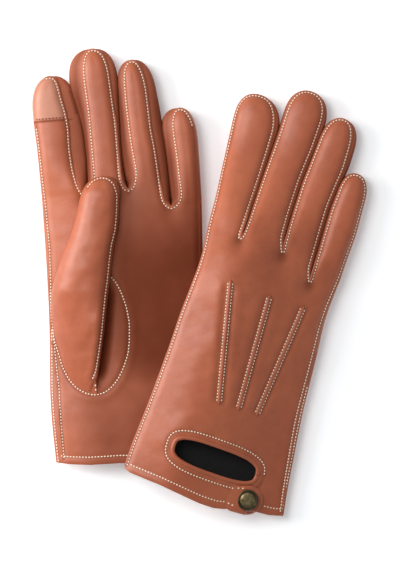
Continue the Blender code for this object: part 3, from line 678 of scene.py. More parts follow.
def soften(side, points, strips):
    glove = GLOVES[side]
    u, v, h = points.T.copy()
    flat = np.column_stack([u, v])
    upper = h > 0.3
    back_up = not glove["palm_up"]
    # shade is painted shade: the colour is darkened where shade falls, in seam grooves, at the crotches, beside
    # the tucks, round the vent and the thumb, in the finger strips and in the palm's hollow
    shade = np.zeros(len(points))
    d = distance_to(flat, STITCH_ROWS[side])
    groove = SEAM_GROOVE * bell(d, 0.75) + SEAM_PUFF * bell(d - 3.0, 1.8)
    # painted shade in the groove along the stitch row
    shade = np.maximum(shade, 0.55 * bell(d, 0.7))
    # the crotches pull the hand down between the fingers, and painted shade darkens them
    for cu, cv in glove["crotches"][1:4]:
        reach = np.hypot((u - cu) / 0.8, (v - cv + 1))
        groove -= CROTCH_PULL * bell(reach, 7)
        shade = np.maximum(shade, 0.8 * bell(reach, 4))
    back = upper == back_up
    for line in POINTS:
        along = smooth_line(line, 0)
        d = distance_to(flat, along)
        fade = smoothstep(56, 62, v) * (1 - smoothstep(124, 131, v))
        groove += np.where(back, (-0.45 * bell(d - 2.6, 1.1) + 0.3 * bell(d - 6, 3)) * fade, 0)
        # painted shade in the grooves beside the tucks
        shade = np.maximum(shade, np.where(back, 0.5 * bell(d - 2.2, 0.7) * fade, 0))
    d = distance_to(flat, oval_line(4.2))
    groove += np.where(back, -0.35 * bell(d, 0.8), 0)
    # painted shade in the groove of the row round the vent
    shade = np.maximum(shade, np.where(back, 0.7 * bell(d, 0.8), 0))
    ring = inside_oval(u, v, 7)
    groove += np.where(back, 0.5 * bell(ring - 0.85, 0.25), 0)
    if glove["palm_up"]:
        seam = distance_to(
            flat, np.column_stack([np.linspace(-48, -24, 60), np.full(60, TOP_SEAM)])
        )
        groove += np.where(upper, -0.35 * bell(seam, 0.5), 0)
        # painted shade along the touch tip's straight seam
        shade = np.maximum(shade, np.where(upper, bell(seam, 0.6), 0))
    d = distance_to(flat, smooth_line(THUMB_OVAL, 1.0))
    groove += np.where(~back, -0.5 * bell(d, 0.8) + 0.3 * bell(d - 3, 1.8), 0)
    # painted shade in the groove of the thumb's oval seam
    shade = np.maximum(shade, np.where(~back, bell(d, 0.8), 0))
    # painted shade: the strips between the fingers are darkened as if shaded in the gaps, less so towards the
    # tips
    for f, finger in enumerate(glove["fingers"]):
        low, high = finger["S"][0](v), finger["S"][1](v)
        mine = (u > low - 1) & (u < high + 1) & (strips > 0)
        tone = (0.55 if f == 0 and glove["palm_up"] else 1.05) * (
            1 - 0.5 * smoothstep(finger["tip"][1] - 34, finger["tip"][1] - 8, v)
        )
        shade = np.maximum(shade, np.where(mine, tone, 0))
    if glove["palm_up"]:
        # painted shadow: the hollow of the palm is darkened beside the thumb and below it, where the thumb, the
        # concave palm and the other glove's cuff shade it
        painted_shadow = smoothstep(-22, 2, u) * smoothstep(28, 70, v) * (1 - 0.6 * smoothstep(120, 172, v))
        painted_shadow = np.maximum(
            1.1 * painted_shadow, 0.6 * smoothstep(-44, -20, u) * (1 - smoothstep(60, 90, v))
        )
        painted_shadow *= 1 - 0.75 * smoothstep(172, 200, v)
        beside = u - np.interp(v, *np.array(THUMB_RIGHT, float)[:, 0:2].T)
        crease_and_shade = bell(beside - 1.5, 5.2) * smoothstep(48, 62, v) * (1 - smoothstep(104, 124, v))
        groove -= np.where(upper, PALM_CREASE * crease_and_shade, 0)
        # painted shade in the crease beside the thumb
        painted_shadow = np.maximum(painted_shadow, 1.5 * crease_and_shade)
        # painted shade along the folds of the small dart below the thumb
        dart_shade = np.exp(-((np.abs(u + 22.9) - (57 - v) * 0.5) / 0.8) ** 2) * (v > 49.5) * (v < 57)
        painted_shadow = np.maximum(painted_shadow, dart_shade)
        shade = np.maximum(shade, np.where(upper, painted_shadow, 0))
    # hem: a turned-in fold stitched 4 mm above the edge
    hem_v = np.interp(u, *np.array(glove["hem"], float).T)
    rise = np.where(
        (v - hem_v > -1) & (v - hem_v < 9),
        -0.3 * bell(v - hem_v - HEM_ROW, 0.8) + 0.25 * bell(v - hem_v - HEM_FOLD, 1.6), 0
    )
    groove += rise
    height = np.abs(h)
    soft = np.clip(height / 3, 0, 1)
    swell = waves(u, v, WAVE_SEEDS[side]) * smoothstep(1, 6, height) * (
        1 - 0.6 * smoothstep(150, 175, v)
    )
    sign = np.where(h >= 0, 1, -1)
    moved = h + sign * (groove * soft + swell * LIFT_OF_WAVES)
    apart = np.where(sign > 0, np.maximum(moved, LEAST_HEIGHT), np.minimum(moved, -LEAST_HEIGHT))
    moved = np.where(height < LEAST_HEIGHT, h, apart)
    return np.column_stack([u, v, moved]), shade


# %% [markdown]
# ## Meshes from points
#
# Small helpers that turn points and faces into a Blender object, with the skin's own normals kept
# where it is cut into pieces, so that the cuts don't show.

# %% Mesh helpers
def face_out(mesh):
    """Turns the faces round if they enclose less than nothing, so that they face outwards."""
    mesh.calc_loop_triangles()
    corners = np.empty(len(mesh.loop_triangles) * 3, np.int32)
    mesh.loop_triangles.foreach_get("vertices", corners)
    points = np.empty(len(mesh.vertices) * 3, np.float32)
    mesh.vertices.foreach_get("co", points)
    points = points.reshape(-1, 3).astype(float)
    points -= points.mean(0)
    if np.linalg.det(points[corners.reshape(-1, 3)]).sum() < 0:
        mesh.flip_normals()


def new_mesh(name, points, faces):
    mesh = bpy.data.meshes.new(name)
    mesh.from_pydata([tuple(p) for p in points], [], [tuple(f) for f in faces])
    mesh.validate()
    mesh.update()
    face_out(mesh)
    return mesh


def new_object(name, mesh, materials, smooth=True):
    made = bpy.data.objects.new(name, mesh)
    bpy.context.scene.collection.objects.link(made)
    for material in materials:
        mesh.materials.append(material)
    mesh.polygons.foreach_set("use_smooth", [smooth] * len(mesh.polygons))
    return made


def vertex_normals(points, faces):
    """Area weighted vertex normals."""
    normals = np.zeros_like(points)
    for size in (3, 4):
        group = np.array([f for f in faces if len(f) == size])
        if not len(group):
            continue
        p = points[group]
        n = np.cross(
            p[:, 2] - p[:, 0], p[:, -1] - p[:, 1]
        ) if size == 4 else np.cross(p[:, 1] - p[:, 0], p[:, 2] - p[:, 0])
        for corner in range(size):
            np.add.at(normals, group[:, corner], n)
    return normals / np.maximum(np.linalg.norm(normals, axis=1), 1e-12)[:, None]


def piece_from(name, points, faces, chosen, materials, normals=None, shade=None):
    """The chosen faces as an object, keeping the whole skin's normals."""
    used = sorted({i for f in chosen for i in faces[f]})
    index = {old: new for new, old in enumerate(used)}
    mesh = new_mesh(name, points[used], [[index[i] for i in faces[f]] for f in chosen])
    if shade is not None:
        layer = mesh.attributes.new("shade", "FLOAT", "POINT")
        layer.data.foreach_set("value", shade[used].astype(np.float32))
    made = new_object(name, mesh, materials)
    if normals is not None:
        mesh.normals_split_custom_set_from_vertices([tuple(n) for n in normals[used]])
    return made


def surface(points, faces):
    return BVHTree.FromPolygons([tuple(p) for p in points], [tuple(f) for f in faces])


def project(tree, line, up=1):
    """Each (u, v) dropped on the surface from above (up 1) or below (-1): places and normals."""
    places, normals = [], []
    last = (0.0, Vector((0, 0, up)))
    for u, v in line:
        hit, normal, _, _ = tree.ray_cast(Vector((u, v, 80 * up)), Vector((0, 0, -up)))
        if hit is not None:
            if normal.z * up < 0:
                normal = -normal
            last = (hit.z, normal)
        places.append((u, v, last[0]))
        normals.append(tuple(last[1]))
    return np.array(places), np.array(normals)


def smooth_rows(values, soft=3):
    """A running mean down the rows."""
    if len(values) < 2 * soft + 2:
        return values
    kernel = np.ones(2 * soft + 1) / (2 * soft + 1)
    padded = np.concatenate([np.repeat(values[:1], soft, 0), values,
                             np.repeat(values[-1:], soft, 0)])
    return np.column_stack([np.convolve(padded[:, i], kernel,
                                        mode="valid") for i in range(values.shape[1])])


def sweep(places, normals, profile, closed=False, taper=0.0):
    """A strip with the given profile, (right, out) pairs in millimetres, along a line."""
    tangent = np.gradient(places, axis=0)
    if closed:
        tangent[0] = tangent[-1] = (places[1] - places[-2])
    tangent /= np.maximum(np.linalg.norm(tangent, axis=1), 1e-9)[:, None]
    normals = normals - (normals * tangent).sum(1)[:, None] * tangent
    normals /= np.maximum(np.linalg.norm(normals, axis=1), 1e-9)[:, None]
    right = np.cross(tangent, normals)
    count, across = len(places), len(profile)
    scale = np.ones(count)
    if taper:
        length = np.concatenate([[0], np.cumsum(np.linalg.norm(np.diff(places, axis=0), axis=1))])
        ends = np.minimum(length, length[-1] - length) / taper
        scale = np.sqrt(np.clip(1 - (1 - np.clip(ends, 0, 1)) ** 2, 0.02, 1))
    points = np.concatenate([
        places + right * (x * scale)[:, None] + normals * (y * scale)[:, None] for x, y in profile
    ]).reshape(across, count, 3).transpose(1, 0, 2).reshape(-1, 3)
    faces = []
    rows = count if closed else count - 1
    for r in range(rows):
        for c in range(across):
            a, b = r * across, ((r + 1) % count) * across
            d = (c + 1) % across
            faces.append((a + c, a + d, b + d, b + c))
    if not closed:
        faces.append(tuple(range(across))[::-1])
        faces.append(tuple((count - 1) * across + c for c in range(across)))
    return points, faces


def joined(parts):
    """Several (points, faces) as one."""
    points, faces, start = [], [], 0
    for p, f in parts:
        points.append(p)
        faces += [tuple(i + start for i in face) for face in f]
        start += len(p)
    return np.concatenate(points), faces


# %% [markdown]
# ## Materials
#
# Nappa is a smooth, fine-grained leather with a soft shine. Its colour drifts slowly and has tiny
# pores, and painted shade darkens it, with less shine, in seam grooves, crotches, finger strips and
# the palm's hollow. The touch leather is paler, with a duller finish.
# The thread is a waxed cream cord, the lining a black knit, and the snap is antique brass.

# %% Shader groups
def group_named(name, inputs, outputs):
    group = bpy.data.node_groups.new(name, "ShaderNodeTree")
    for title, kind, value in inputs:
        socket = group.interface.new_socket(title, in_out="INPUT", socket_type=kind)
        if value is not None:
            socket.default_value = value
    for title, kind in outputs:
        group.interface.new_socket(title, in_out="OUTPUT", socket_type=kind)
    return group, group.nodes.new("NodeGroupInput"), group.nodes.new("NodeGroupOutput")


def add_node(tree, kind, **settings):
    node = tree.nodes.new(kind)
    for key, value in settings.items():
        if key in node.inputs:
            node.inputs[key].default_value = value
        elif hasattr(node, key):
            setattr(node, key, value)
    return node


def noise(tree, vector, scale, detail=3, rough=0.5, distort=0.0):
    node = add_node(
        tree, "ShaderNodeTexNoise", Scale=scale, Detail=detail, Roughness=rough, Distortion=distort
    )
    tree.links.new(vector, node.inputs["Vector"])
    return node.outputs["Fac"]


def math_node(tree, operation, a, b=None, c=None):
    node = tree.nodes.new("ShaderNodeMath")
    node.operation = operation
    for i, value in enumerate((a, b, c)):
        if value is None:
            continue
        if isinstance(value, (int, float)):
            node.inputs[i].default_value = value
        else:
            tree.links.new(value, node.inputs[i])
    return node.outputs[0]


def ramp(tree, factor, stops):
    node = tree.nodes.new("ShaderNodeValToRGB")
    elements = node.color_ramp.elements
    while len(elements) < len(stops):
        elements.new(0.5)
    for element, (place, colour) in zip(elements, stops):
        element.position = place
        element.color = (*colour, 1)
    tree.links.new(factor, node.inputs["Fac"])
    return node.outputs["Color"]


def mixed(tree, kind, factor, a, b):
    node = tree.nodes.new("ShaderNodeMix")
    node.data_type = "RGBA"
    node.blend_type = kind
    for socket, value in ((node.inputs[0], factor), (node.inputs[6], a), (node.inputs[7], b)):
        if isinstance(value, (int, float)):
            socket.default_value = value
        elif isinstance(value, tuple):
            socket.default_value = (*value, 1)
        else:
            tree.links.new(value, socket)
    return node.outputs[2]


def leather_group():
    group, given, out = group_named(
        "nappa_grain",
        (("Vector", "NodeSocketVector", None), ("Shade", "NodeSocketFloat", 0.0)),
        (("Drift", "NodeSocketFloat"), ("Painted Shade", "NodeSocketFloat"),
         ("Roughness", "NodeSocketFloat"), ("Normal", "NodeSocketVector")))
    vector, shade = given.outputs["Vector"], given.outputs["Shade"]
    slow = noise(group, vector, 16, 3, 0.5, 0.4)
    fine = noise(group, vector, 160, 5, 0.6)
    drift = math_node(group, "MULTIPLY_ADD", fine, 0.3, math_node(group, "MULTIPLY", slow, 0.7))
    group.links.new(drift, out.inputs["Drift"])
    pores = add_node(group, "ShaderNodeTexVoronoi", Scale=1500.0, feature="F1")
    group.links.new(vector, pores.inputs["Vector"])
    cells = add_node(group, "ShaderNodeTexVoronoi", Scale=620.0, feature="DISTANCE_TO_EDGE")
    group.links.new(vector, cells.inputs["Vector"])
    wrinkle = add_node(
        group, "ShaderNodeTexNoise", Scale=75.0, Detail=6.0, Roughness=0.62, Distortion=1.4
    )
    group.links.new(vector, wrinkle.inputs["Vector"])
    grain = math_node(group, "MULTIPLY_ADD", math_node(group, "MINIMUM", cells.outputs["Distance"],
                                                       0.12), 2.2,
                      math_node(group, "MULTIPLY", pores.outputs["Distance"], 0.25))
    height = math_node(group, "MULTIPLY_ADD", wrinkle.outputs["Fac"], 1.6, grain)
    bump = add_node(group, "ShaderNodeBump", Strength=0.22, Distance=0.00035)
    group.links.new(height, bump.inputs["Height"])
    group.links.new(bump.outputs["Normal"], out.inputs["Normal"])
    # painted shade: the shade attribute, with a little grain in it, sets how far the colour is darkened
    painted_shade_amount = math_node(
        group, "MULTIPLY", shade, math_node(group, "MULTIPLY_ADD", fine, 0.16, 0.60)
    )
    group.links.new(painted_shade_amount, out.inputs["Painted Shade"])
    rough = math_node(
        group, "MULTIPLY_ADD", wrinkle.outputs["Fac"], 0.2,
        math_node(group, "MULTIPLY_ADD", shade, 0.30, 0.28)
    )
    group.links.new(rough, out.inputs["Roughness"])
    return group


LEATHER_GROUP = leather_group()


def leather_material(name, dark, light, crease_and_shade, duller=0.0):
    material = bpy.data.materials.new(name)
    material.use_nodes = True
    tree = material.node_tree
    shader = tree.nodes["Principled BSDF"]
    grain = tree.nodes.new("ShaderNodeGroup")
    grain.node_tree = LEATHER_GROUP
    tree.links.new(tree.nodes.new("ShaderNodeTexCoord").outputs["Object"], grain.inputs["Vector"])
    shade = add_node(tree, "ShaderNodeAttribute", attribute_name="shade")
    tree.links.new(shade.outputs["Fac"], grain.inputs["Shade"])
    drift = ramp(tree, grain.outputs["Drift"], ((0.32, dark), (0.68, light)))
    # painted shade: the colour is mixed towards the dark colour where the shade attribute marks shade
    colour = mixed(tree, "MIX", grain.outputs["Painted Shade"], drift, crease_and_shade)
    tree.links.new(colour, shader.inputs["Base Color"])
    rough = math_node(
        tree, "ADD", grain.outputs["Roughness"], duller
    ) if duller else grain.outputs["Roughness"]
    tree.links.new(rough, shader.inputs["Roughness"])
    tree.links.new(grain.outputs["Normal"], shader.inputs["Normal"])
    # painted shade also dims the shine
    tree.links.new(
        math_node(tree, "MULTIPLY_ADD", grain.outputs["Painted Shade"], -0.42, 0.40),
        shader.inputs["Specular IOR Level"]
    )
    return material


def simple_material(
    name, stops, scale, rough, bump_scale, bump, metallic=0.0, distance=0.0002, kind="noise"
):
    """A material whose colour drifts between stops, with a fine bump."""
    material = bpy.data.materials.new(name)
    material.use_nodes = True
    tree = material.node_tree
    shader = tree.nodes["Principled BSDF"]
    vector = tree.nodes.new("ShaderNodeTexCoord").outputs["Object"]
    fac = noise(tree, vector, scale, 5, 0.6)
    tree.links.new(ramp(tree, fac, stops), shader.inputs["Base Color"])
    tree.links.new(
        math_node(tree, "MULTIPLY_ADD", fac, rough[1], rough[0]), shader.inputs["Roughness"]
    )
    shader.inputs["Metallic"].default_value = metallic
    if kind == "knit":
        ribs = add_node(tree, "ShaderNodeTexWave", Scale=bump_scale, Distortion=1.5, Detail=2.0)
        tree.links.new(vector, ribs.inputs["Vector"])
        height = ribs.outputs["Fac"]
    else:
        height = noise(tree, vector, bump_scale, 4, 0.6)
    node = add_node(tree, "ShaderNodeBump", Strength=bump, Distance=distance)
    tree.links.new(height, node.inputs["Height"])
    tree.links.new(node.outputs["Normal"], shader.inputs["Normal"])
    return material


# the last colour of each leather is the colour its painted shade mixes towards
LEATHER = leather_material(
    "nappa_leather", (0.35, 0.086, 0.038), (0.485, 0.132, 0.060), (0.11, 0.022, 0.009)
)
RIM = leather_material(
    "nappa_raw_edge", (0.32, 0.080, 0.036), (0.46, 0.130, 0.062), (0.11, 0.022, 0.009), 0.10
)
TOUCH = leather_material(
    "touch_leather_skin", (0.48, 0.185, 0.115), (0.58, 0.245, 0.155), (0.20, 0.06, 0.035), 0.06
)
THREAD = simple_material(
    "cream_thread", ((0.3, (0.84, 0.66, 0.47)), (0.7, (0.96, 0.84, 0.68))), 900, (0.5, 0.25), 2600,
    0.5
)
DARK_THREAD = simple_material(
    "brown_thread", ((0.3, (0.16, 0.045, 0.02)), (0.7, (0.24, 0.075, 0.035))), 900, (0.5, 0.25),
    2600, 0.5
)
LINING = simple_material(
    "black_knit", ((0.3, (0.004, 0.003, 0.003)), (0.7, (0.012, 0.010, 0.009))), 600, (0.85, 0.1),
    900, 0.7, kind="knit"
)
BRASS = simple_material("antique_brass_metal",
                        ((0.3, (0.10, 0.075, 0.035)), (0.5, (0.26, 0.20, 0.10)),
                         (0.75, (0.42, 0.33, 0.18))),
                        420, (0.28, 0.3), 1500, 0.35, metallic=1.0)
BRASS_DARK = simple_material("antique_brass_recess",
                             ((0.3, (0.03, 0.026, 0.014)), (0.7, (0.10, 0.085, 0.045))),
                             500, (0.4, 0.3), 1500, 0.4, metallic=0.9)


# %% [markdown]
# ## Stitches
#
# A sewing machine lays one short cord per stitch, and each end dives into the leather. Every
# stitch is a point with the direction of its seam and the skin's normal, and one Geometry Nodes
# tree puts a small rounded cord on each point.

# %% Stitches
PITCH, STITCH_LENGTH, STITCH_WIDTH = 1.85, 1.25, 0.86


def stitch_points(places, normals, pitch=PITCH, lift=0.16):
    length = np.concatenate([[0], np.cumsum(np.linalg.norm(np.diff(places, axis=0), axis=1))])
    count = max(int(length[-1] / pitch), 1)
    at = (np.arange(count) + 0.5) * length[-1] / count
    p = np.column_stack([np.interp(at, length, places[:, i]) for i in range(3)])
    n = np.column_stack([np.interp(at, length, normals[:, i]) for i in range(3)])
    ahead = np.column_stack([np.interp(at + 0.6, length, places[:, i]) for i in range(3)])
    behind = np.column_stack([np.interp(at - 0.6, length, places[:, i]) for i in range(3)])
    d = ahead - behind
    n /= np.linalg.norm(n, axis=1)[:, None]
    d /= np.maximum(np.linalg.norm(d, axis=1), 1e-9)[:, None]
    return np.column_stack([p + n * lift, d, n])


def stitch_tree():
    tree = bpy.data.node_groups.new("stitch_cords", "GeometryNodeTree")
    for title, kind in (("Geometry", "NodeSocketGeometry"), ("Length", "NodeSocketFloat"),
                        ("Width", "NodeSocketFloat"),
                        ("Material", "NodeSocketMaterial")):
        tree.interface.new_socket(title, in_out="INPUT", socket_type=kind)
    tree.interface.new_socket("Geometry", in_out="OUTPUT", socket_type="NodeSocketGeometry")
    given, out = tree.nodes.new("NodeGroupInput"), tree.nodes.new("NodeGroupOutput")

    def named(name):
        node = tree.nodes.new("GeometryNodeInputNamedAttribute")
        node.data_type = "FLOAT_VECTOR"
        node.inputs["Name"].default_value = name
        return node.outputs["Attribute"]

    along = tree.nodes.new("FunctionNodeAlignRotationToVector")
    along.axis = "X"
    tree.links.new(named("along"), along.inputs["Vector"])
    upright = tree.nodes.new("FunctionNodeAlignRotationToVector")
    upright.axis, upright.pivot_axis = "Z", "X"
    tree.links.new(along.outputs["Rotation"], upright.inputs["Rotation"])
    tree.links.new(named("out"), upright.inputs["Vector"])
    ball = tree.nodes.new("GeometryNodeMeshUVSphere")
    ball.inputs["Segments"].default_value = 8
    ball.inputs["Rings"].default_value = 6
    ball.inputs["Radius"].default_value = 0.5
    turn = tree.nodes.new("GeometryNodeTransform")
    turn.inputs["Rotation"].default_value = (0, math.pi / 2, 0)
    tree.links.new(ball.outputs["Mesh"], turn.inputs["Geometry"])
    size = tree.nodes.new("ShaderNodeCombineXYZ")
    tree.links.new(given.outputs["Length"], size.inputs["X"])
    tree.links.new(given.outputs["Width"], size.inputs["Y"])
    flat = tree.nodes.new("ShaderNodeMath")
    flat.operation = "MULTIPLY"
    flat.inputs[1].default_value = 0.8
    tree.links.new(given.outputs["Width"], flat.inputs[0])
    tree.links.new(flat.outputs[0], size.inputs["Z"])
    put = tree.nodes.new("GeometryNodeInstanceOnPoints")
    tree.links.new(given.outputs["Geometry"], put.inputs["Points"])
    tree.links.new(turn.outputs["Geometry"], put.inputs["Instance"])
    tree.links.new(upright.outputs["Rotation"], put.inputs["Rotation"])
    tree.links.new(size.outputs["Vector"], put.inputs["Scale"])
    real = tree.nodes.new("GeometryNodeRealizeInstances")
    tree.links.new(put.outputs["Instances"], real.inputs["Geometry"])
    soft = tree.nodes.new("GeometryNodeSetShadeSmooth")
    tree.links.new(real.outputs["Geometry"], soft.inputs["Geometry"])
    dye = tree.nodes.new("GeometryNodeSetMaterial")
    tree.links.new(soft.outputs["Geometry"], dye.inputs["Geometry"])
    tree.links.new(given.outputs["Material"], dye.inputs["Material"])
    tree.links.new(dye.outputs["Geometry"], out.inputs["Geometry"])
    return tree


STITCH_TREE = stitch_tree()


def add_stitches(name, side, rows, material=None, length=STITCH_LENGTH, width=STITCH_WIDTH):
    """rows: stitch points in the flat frame. The result is a plain mesh in the world."""
    material = material or THREAD
    rows = rows[np.isfinite(rows).all(1)]
    places = lay(side, rows[:, :3])
    ahead = lay(side, rows[:, :3] + rows[:, 3:6] * 0.3) - places
    out = lay(side, rows[:, :3] + rows[:, 6:9] * 0.3) - places
    mesh = bpy.data.meshes.new(name + "_points")
    mesh.from_pydata([tuple(p) for p in places], [], [])
    for title, values in (("along", ahead), ("out", out)):
        values = values / np.linalg.norm(values, axis=1)[:, None]
        layer = mesh.attributes.new(title, "FLOAT_VECTOR", "POINT")
        layer.data.foreach_set("vector", values.astype(np.float32).ravel())
    holder = bpy.data.objects.new(name + "_points", mesh)
    bpy.context.scene.collection.objects.link(holder)
    modifier = holder.modifiers.new("stitches", "NODES")
    modifier.node_group = STITCH_TREE
    sockets = {
        item.name: item.identifier for item in STITCH_TREE.interface.items_tree
        if item.in_out == "INPUT"
    }
    modifier[sockets["Length"]] = length * 0.001
    modifier[sockets["Width"]] = width * 0.001
    modifier[sockets["Material"]] = material
    graph = bpy.context.evaluated_depsgraph_get()
    made = bpy.data.meshes.new_from_object(holder.evaluated_get(graph))
    bpy.data.objects.remove(holder)
    for layer in list(made.attributes):
        if layer.name in ("along", "out"):
            made.attributes.remove(layer)
    if not made.materials:
        made.materials.append(material)
    piece = bpy.data.objects.new(name, made)
    bpy.context.scene.collection.objects.link(piece)
    return piece


# %% [markdown]
# ## Making each glove
#
# The hand rides on its own body, and each finger bends between the hand and the finger's body
# from its crotch upwards, so neighbouring fingers can curl apart without a tear.

# %% Skin pieces
def hand_body(side):
    return f"{side}_hand"


def finger_zone(side, points):
    """For each (u, v) point: the finger it belongs to above the crotches, or -1 on the hand."""
    glove = GLOVES[side]
    u, v = points[:, 0], points[:, 1]
    zone = np.full(len(points), -1)
    for f in range(4):
        (ua, va), (ub, vb) = glove["crotches"][f], glove["crotches"][f + 1]
        finger = glove["fingers"][f]
        low = finger["S"][0](v) - (3 if f == 0 else 0.2)
        high = finger["S"][1](v) + (3 if f == 3 else 0.2)
        start = np.interp(u, (ua, ub), (va, vb))
        zone[(u >= low) & (u <= high) & (v > start)] = f
    return zone


def bend_finger(piece, side, f):
    """Bends a piece at the finger's root."""
    glove = GLOVES[side]
    (ua, va), (ub, vb) = glove["crotches"][f], glove["crotches"][f + 1]
    middle = (ua + ub) / 2
    root = max(va, vb)
    tip = glove["fingers"][f]["tip"]
    start = lay(side, [(middle, root + 0.5, 0)])[0]
    end = lay(side, [(mix(middle, tip[0], 0.4), min(root + 30, tip[1] - 8), 0)])[0]
    start[2] = end[2] = 0.5 * (start[2] + end[2])
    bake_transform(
        piece, hand_body(side), f"{side}_{FINGERS[f]}_finger", start=tuple(start), end=tuple(end)
    )


PIECES = {}
TREES = {}
NODE_PARTS = {"index": ("back", "front", "fourchette_little_side", "lining"),
              "middle": ("back", "front", "fourchette_index_side", "fourchette_little_side",
                         "lining"),
              "ring": ("back", "front", "fourchette_index_side", "fourchette_little_side",
                       "lining"),
              "little": ("back", "front", "fourchette_index_side", "lining")}

for side, glove in GLOVES.items():
    points, faces, tags = SKINS[side]
    points, shade = soften(side, points[:, :3], points[:, 3])
    TREES[side] = surface(points, faces)
    # the vent is an oval hole in the back
    back_sign = -1 if glove["palm_up"] else 1
    u, v, h = points.T
    ring = inside_oval(u, v)
    on_back = (h * back_sign > 2) & (ring < 1.4)
    a, b = VENT[2], VENT[3]
    near = on_back & (np.abs(ring - 1) * b < 0.75)
    cu, cv = VENT[:2]
    # points near the edge move onto it along the line to its centre, so its tilt stays as it is
    points[near, 0] = cu + (u[near] - cu) / ring[near]
    points[near, 1] = cv + (v[near] - cv) / ring[near]
    inside = on_back & (ring < 1) & ~near
    kept = [i for i, face in enumerate(faces) if not any(inside[j] for j in face)]
    faces = [faces[i] for i in kept]
    tags = [tags[i] for i in kept]
    world = lay(side, points)
    normals = vertex_normals(world, faces)
    for zone in ("hand",) + FINGERS:
        chosen = [i for i, tag in enumerate(tags) if tag == zone]
        if side == "left" and zone == "index":
            chosen_tip = [i for i, tag in enumerate(tags) if tag == "touch"]
            tip = piece_from(
                "left_index_touch_panel", world, faces, chosen_tip, [TOUCH], normals, shade
            )
            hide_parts("left_touch_tip")
            PIECES["left", "touch"] = tip
        title = f"{side}_{zone}_skin" if zone == "hand" else f"{side}_{zone}_finger_skin"
        piece = piece_from(title, world, faces, chosen, [LEATHER], normals, shade)
        PIECES[side, zone] = piece
    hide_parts(f"{side}_back_panel", f"{side}_palm_panel")
    for finger in FINGERS:
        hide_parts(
            *[f"{side}_{finger}_{part}" for part in NODE_PARTS[finger]]
        )
    print(side, "pieces", {k[1]: len(p.data.polygons) for k, p in PIECES.items() if k[0] == side})
if "right_touch_tip" in frame["nodes"]:
    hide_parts("right_touch_tip")


# %% [markdown]
# ## Outseam rims and stitch rows
#
# The rim is the pair of raw edges outside the stitches: about 2 mm wide, 1.1 mm thick, with a
# parting line between the two plies.

# %% Rims and rows
RIM_PROFILE = ((-0.3, -0.7), (-0.1, 0.05), (0.35, 0.42), (0.95, 0.55), (1.55, 0.42), (1.8, 0.12),
               (1.62, -0.05), (1.8, -0.22),
               (1.6, -0.6), (0.8, -0.9))


def runs_of(zone):
    """Start and end of each run of one value."""
    edges = np.flatnonzero(np.diff(zone)) + 1
    return zip(np.concatenate([[0], edges]), np.concatenate([edges, [len(zone)]]))


def seam_parts(side, up):
    """The stitch row split by zone: a list of (zone, places, normals)."""
    row = STITCH_ROWS[side]
    places, normals = project(TREES[side], row, up)
    places[:, 2] = smooth_rows(places[:, 2:3], 2)[:, 0]
    normals = smooth_rows(normals, 4)
    normals /= np.linalg.norm(normals, axis=1)[:, None]
    zone = finger_zone(side, row)
    if side == "left" and up == 1:
        last_tip = len(row) - 1 - int(np.argmax(row[::-1, 1] > GLOVES[side]["fingers"][3]["tip"][1] - 2.4))
        turned_under = (np.arange(len(row)) > last_tip) & (row[:, 1] < TURNED_UNDER)
        first_tip = int(np.argmax(row[:, 1] > GLOVES[side]["fingers"][0]["tip"][1] - 2.0))
        turned_under |= (np.arange(len(row)) < first_tip) & (row[:, 1] > TOP_SEAM - 4)
        zone[turned_under] = -2
    return [
        (int(zone[a]), places[a:b + 1], normals[a:b + 1]) for a,
        b in runs_of(zone) if b - a > 3 and zone[a] > -2
    ]


def flipped(profile):
    return tuple((-x, y) for x, y in profile[::-1])


for side in GLOVES:
    for up in (1, -1):
        face = "upper" if up == 1 else "lower"
        by_zone = {}
        for zone, places, normals in seam_parts(side, up):
            by_zone.setdefault(zone, []).append((places, normals))
        for zone, parts in by_zone.items():
            title = "hand" if zone < 0 else FINGERS[zone]
            profile = flipped(RIM_PROFILE) if up == 1 else RIM_PROFILE
            swept = []
            for places, normals in parts:
                p, f = sweep(places, normals, profile)
                swept.append((p, [q[::-1] for q in f]) if up == 1 else (p, f))
            p, f = joined(swept)
            rim = new_object(f"{side}_{title}_{face}_rim", new_mesh("rim", lay(side, p), f), [RIM])
            rows = np.concatenate([stitch_points(places, normals) for places, normals in parts])
            thread = add_stitches(f"{side}_{title}_{face}_stitches", side, rows)
            for piece in (rim, thread):
                if zone < 0:
                    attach(piece, hand_body(side))
                else:
                    bend_finger(piece, side, zone)
    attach(PIECES[side, "hand"], hand_body(side))
    for f, finger in enumerate(FINGERS):
        bend_finger(PIECES[side, finger], side, f)
bend_finger(PIECES["left", "touch"], "left", 0)

# the touch tip is sewn on with a tone-on-tone row just above its straight seam
row = smooth_line(((-46.2, TOP_SEAM + 1.5), (-29.4, TOP_SEAM + 1.5)), 0)
tip_thread = add_stitches(
    "left_touch_tip_stitches", "left", stitch_points(*project(TREES["left"], row)), DARK_THREAD
)
bend_finger(tip_thread, "left", 0)

# a second row holds the turned-in allowance near the cuff
for side, edge, inset, (v_low, v_high) in (
    ("left", "left_edge", 1.5, (8, 112)), ("right", "right_edge", -1.3, (8, 84))
):
    v = np.arange(v_low, v_high, 1.0)
    row = np.column_stack([GLOVES[side][edge](v) + inset, v])
    places, normals = project(TREES[side], row)
    thread = add_stitches(
        f"{side}_allowance_stitches", side, stitch_points(places, smooth_rows(normals, 4))
    )
    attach(thread, hand_body(side))


# %% [markdown]
# ## Thumbs
#
# The thumb is set into an oval hole in the palm. Its root lies flat against the palm at the oval
# and stands up towards the seam on its right, and the free part lies over the palm. The root
# stays with the hand and the free part bends at the thumb's own joint.

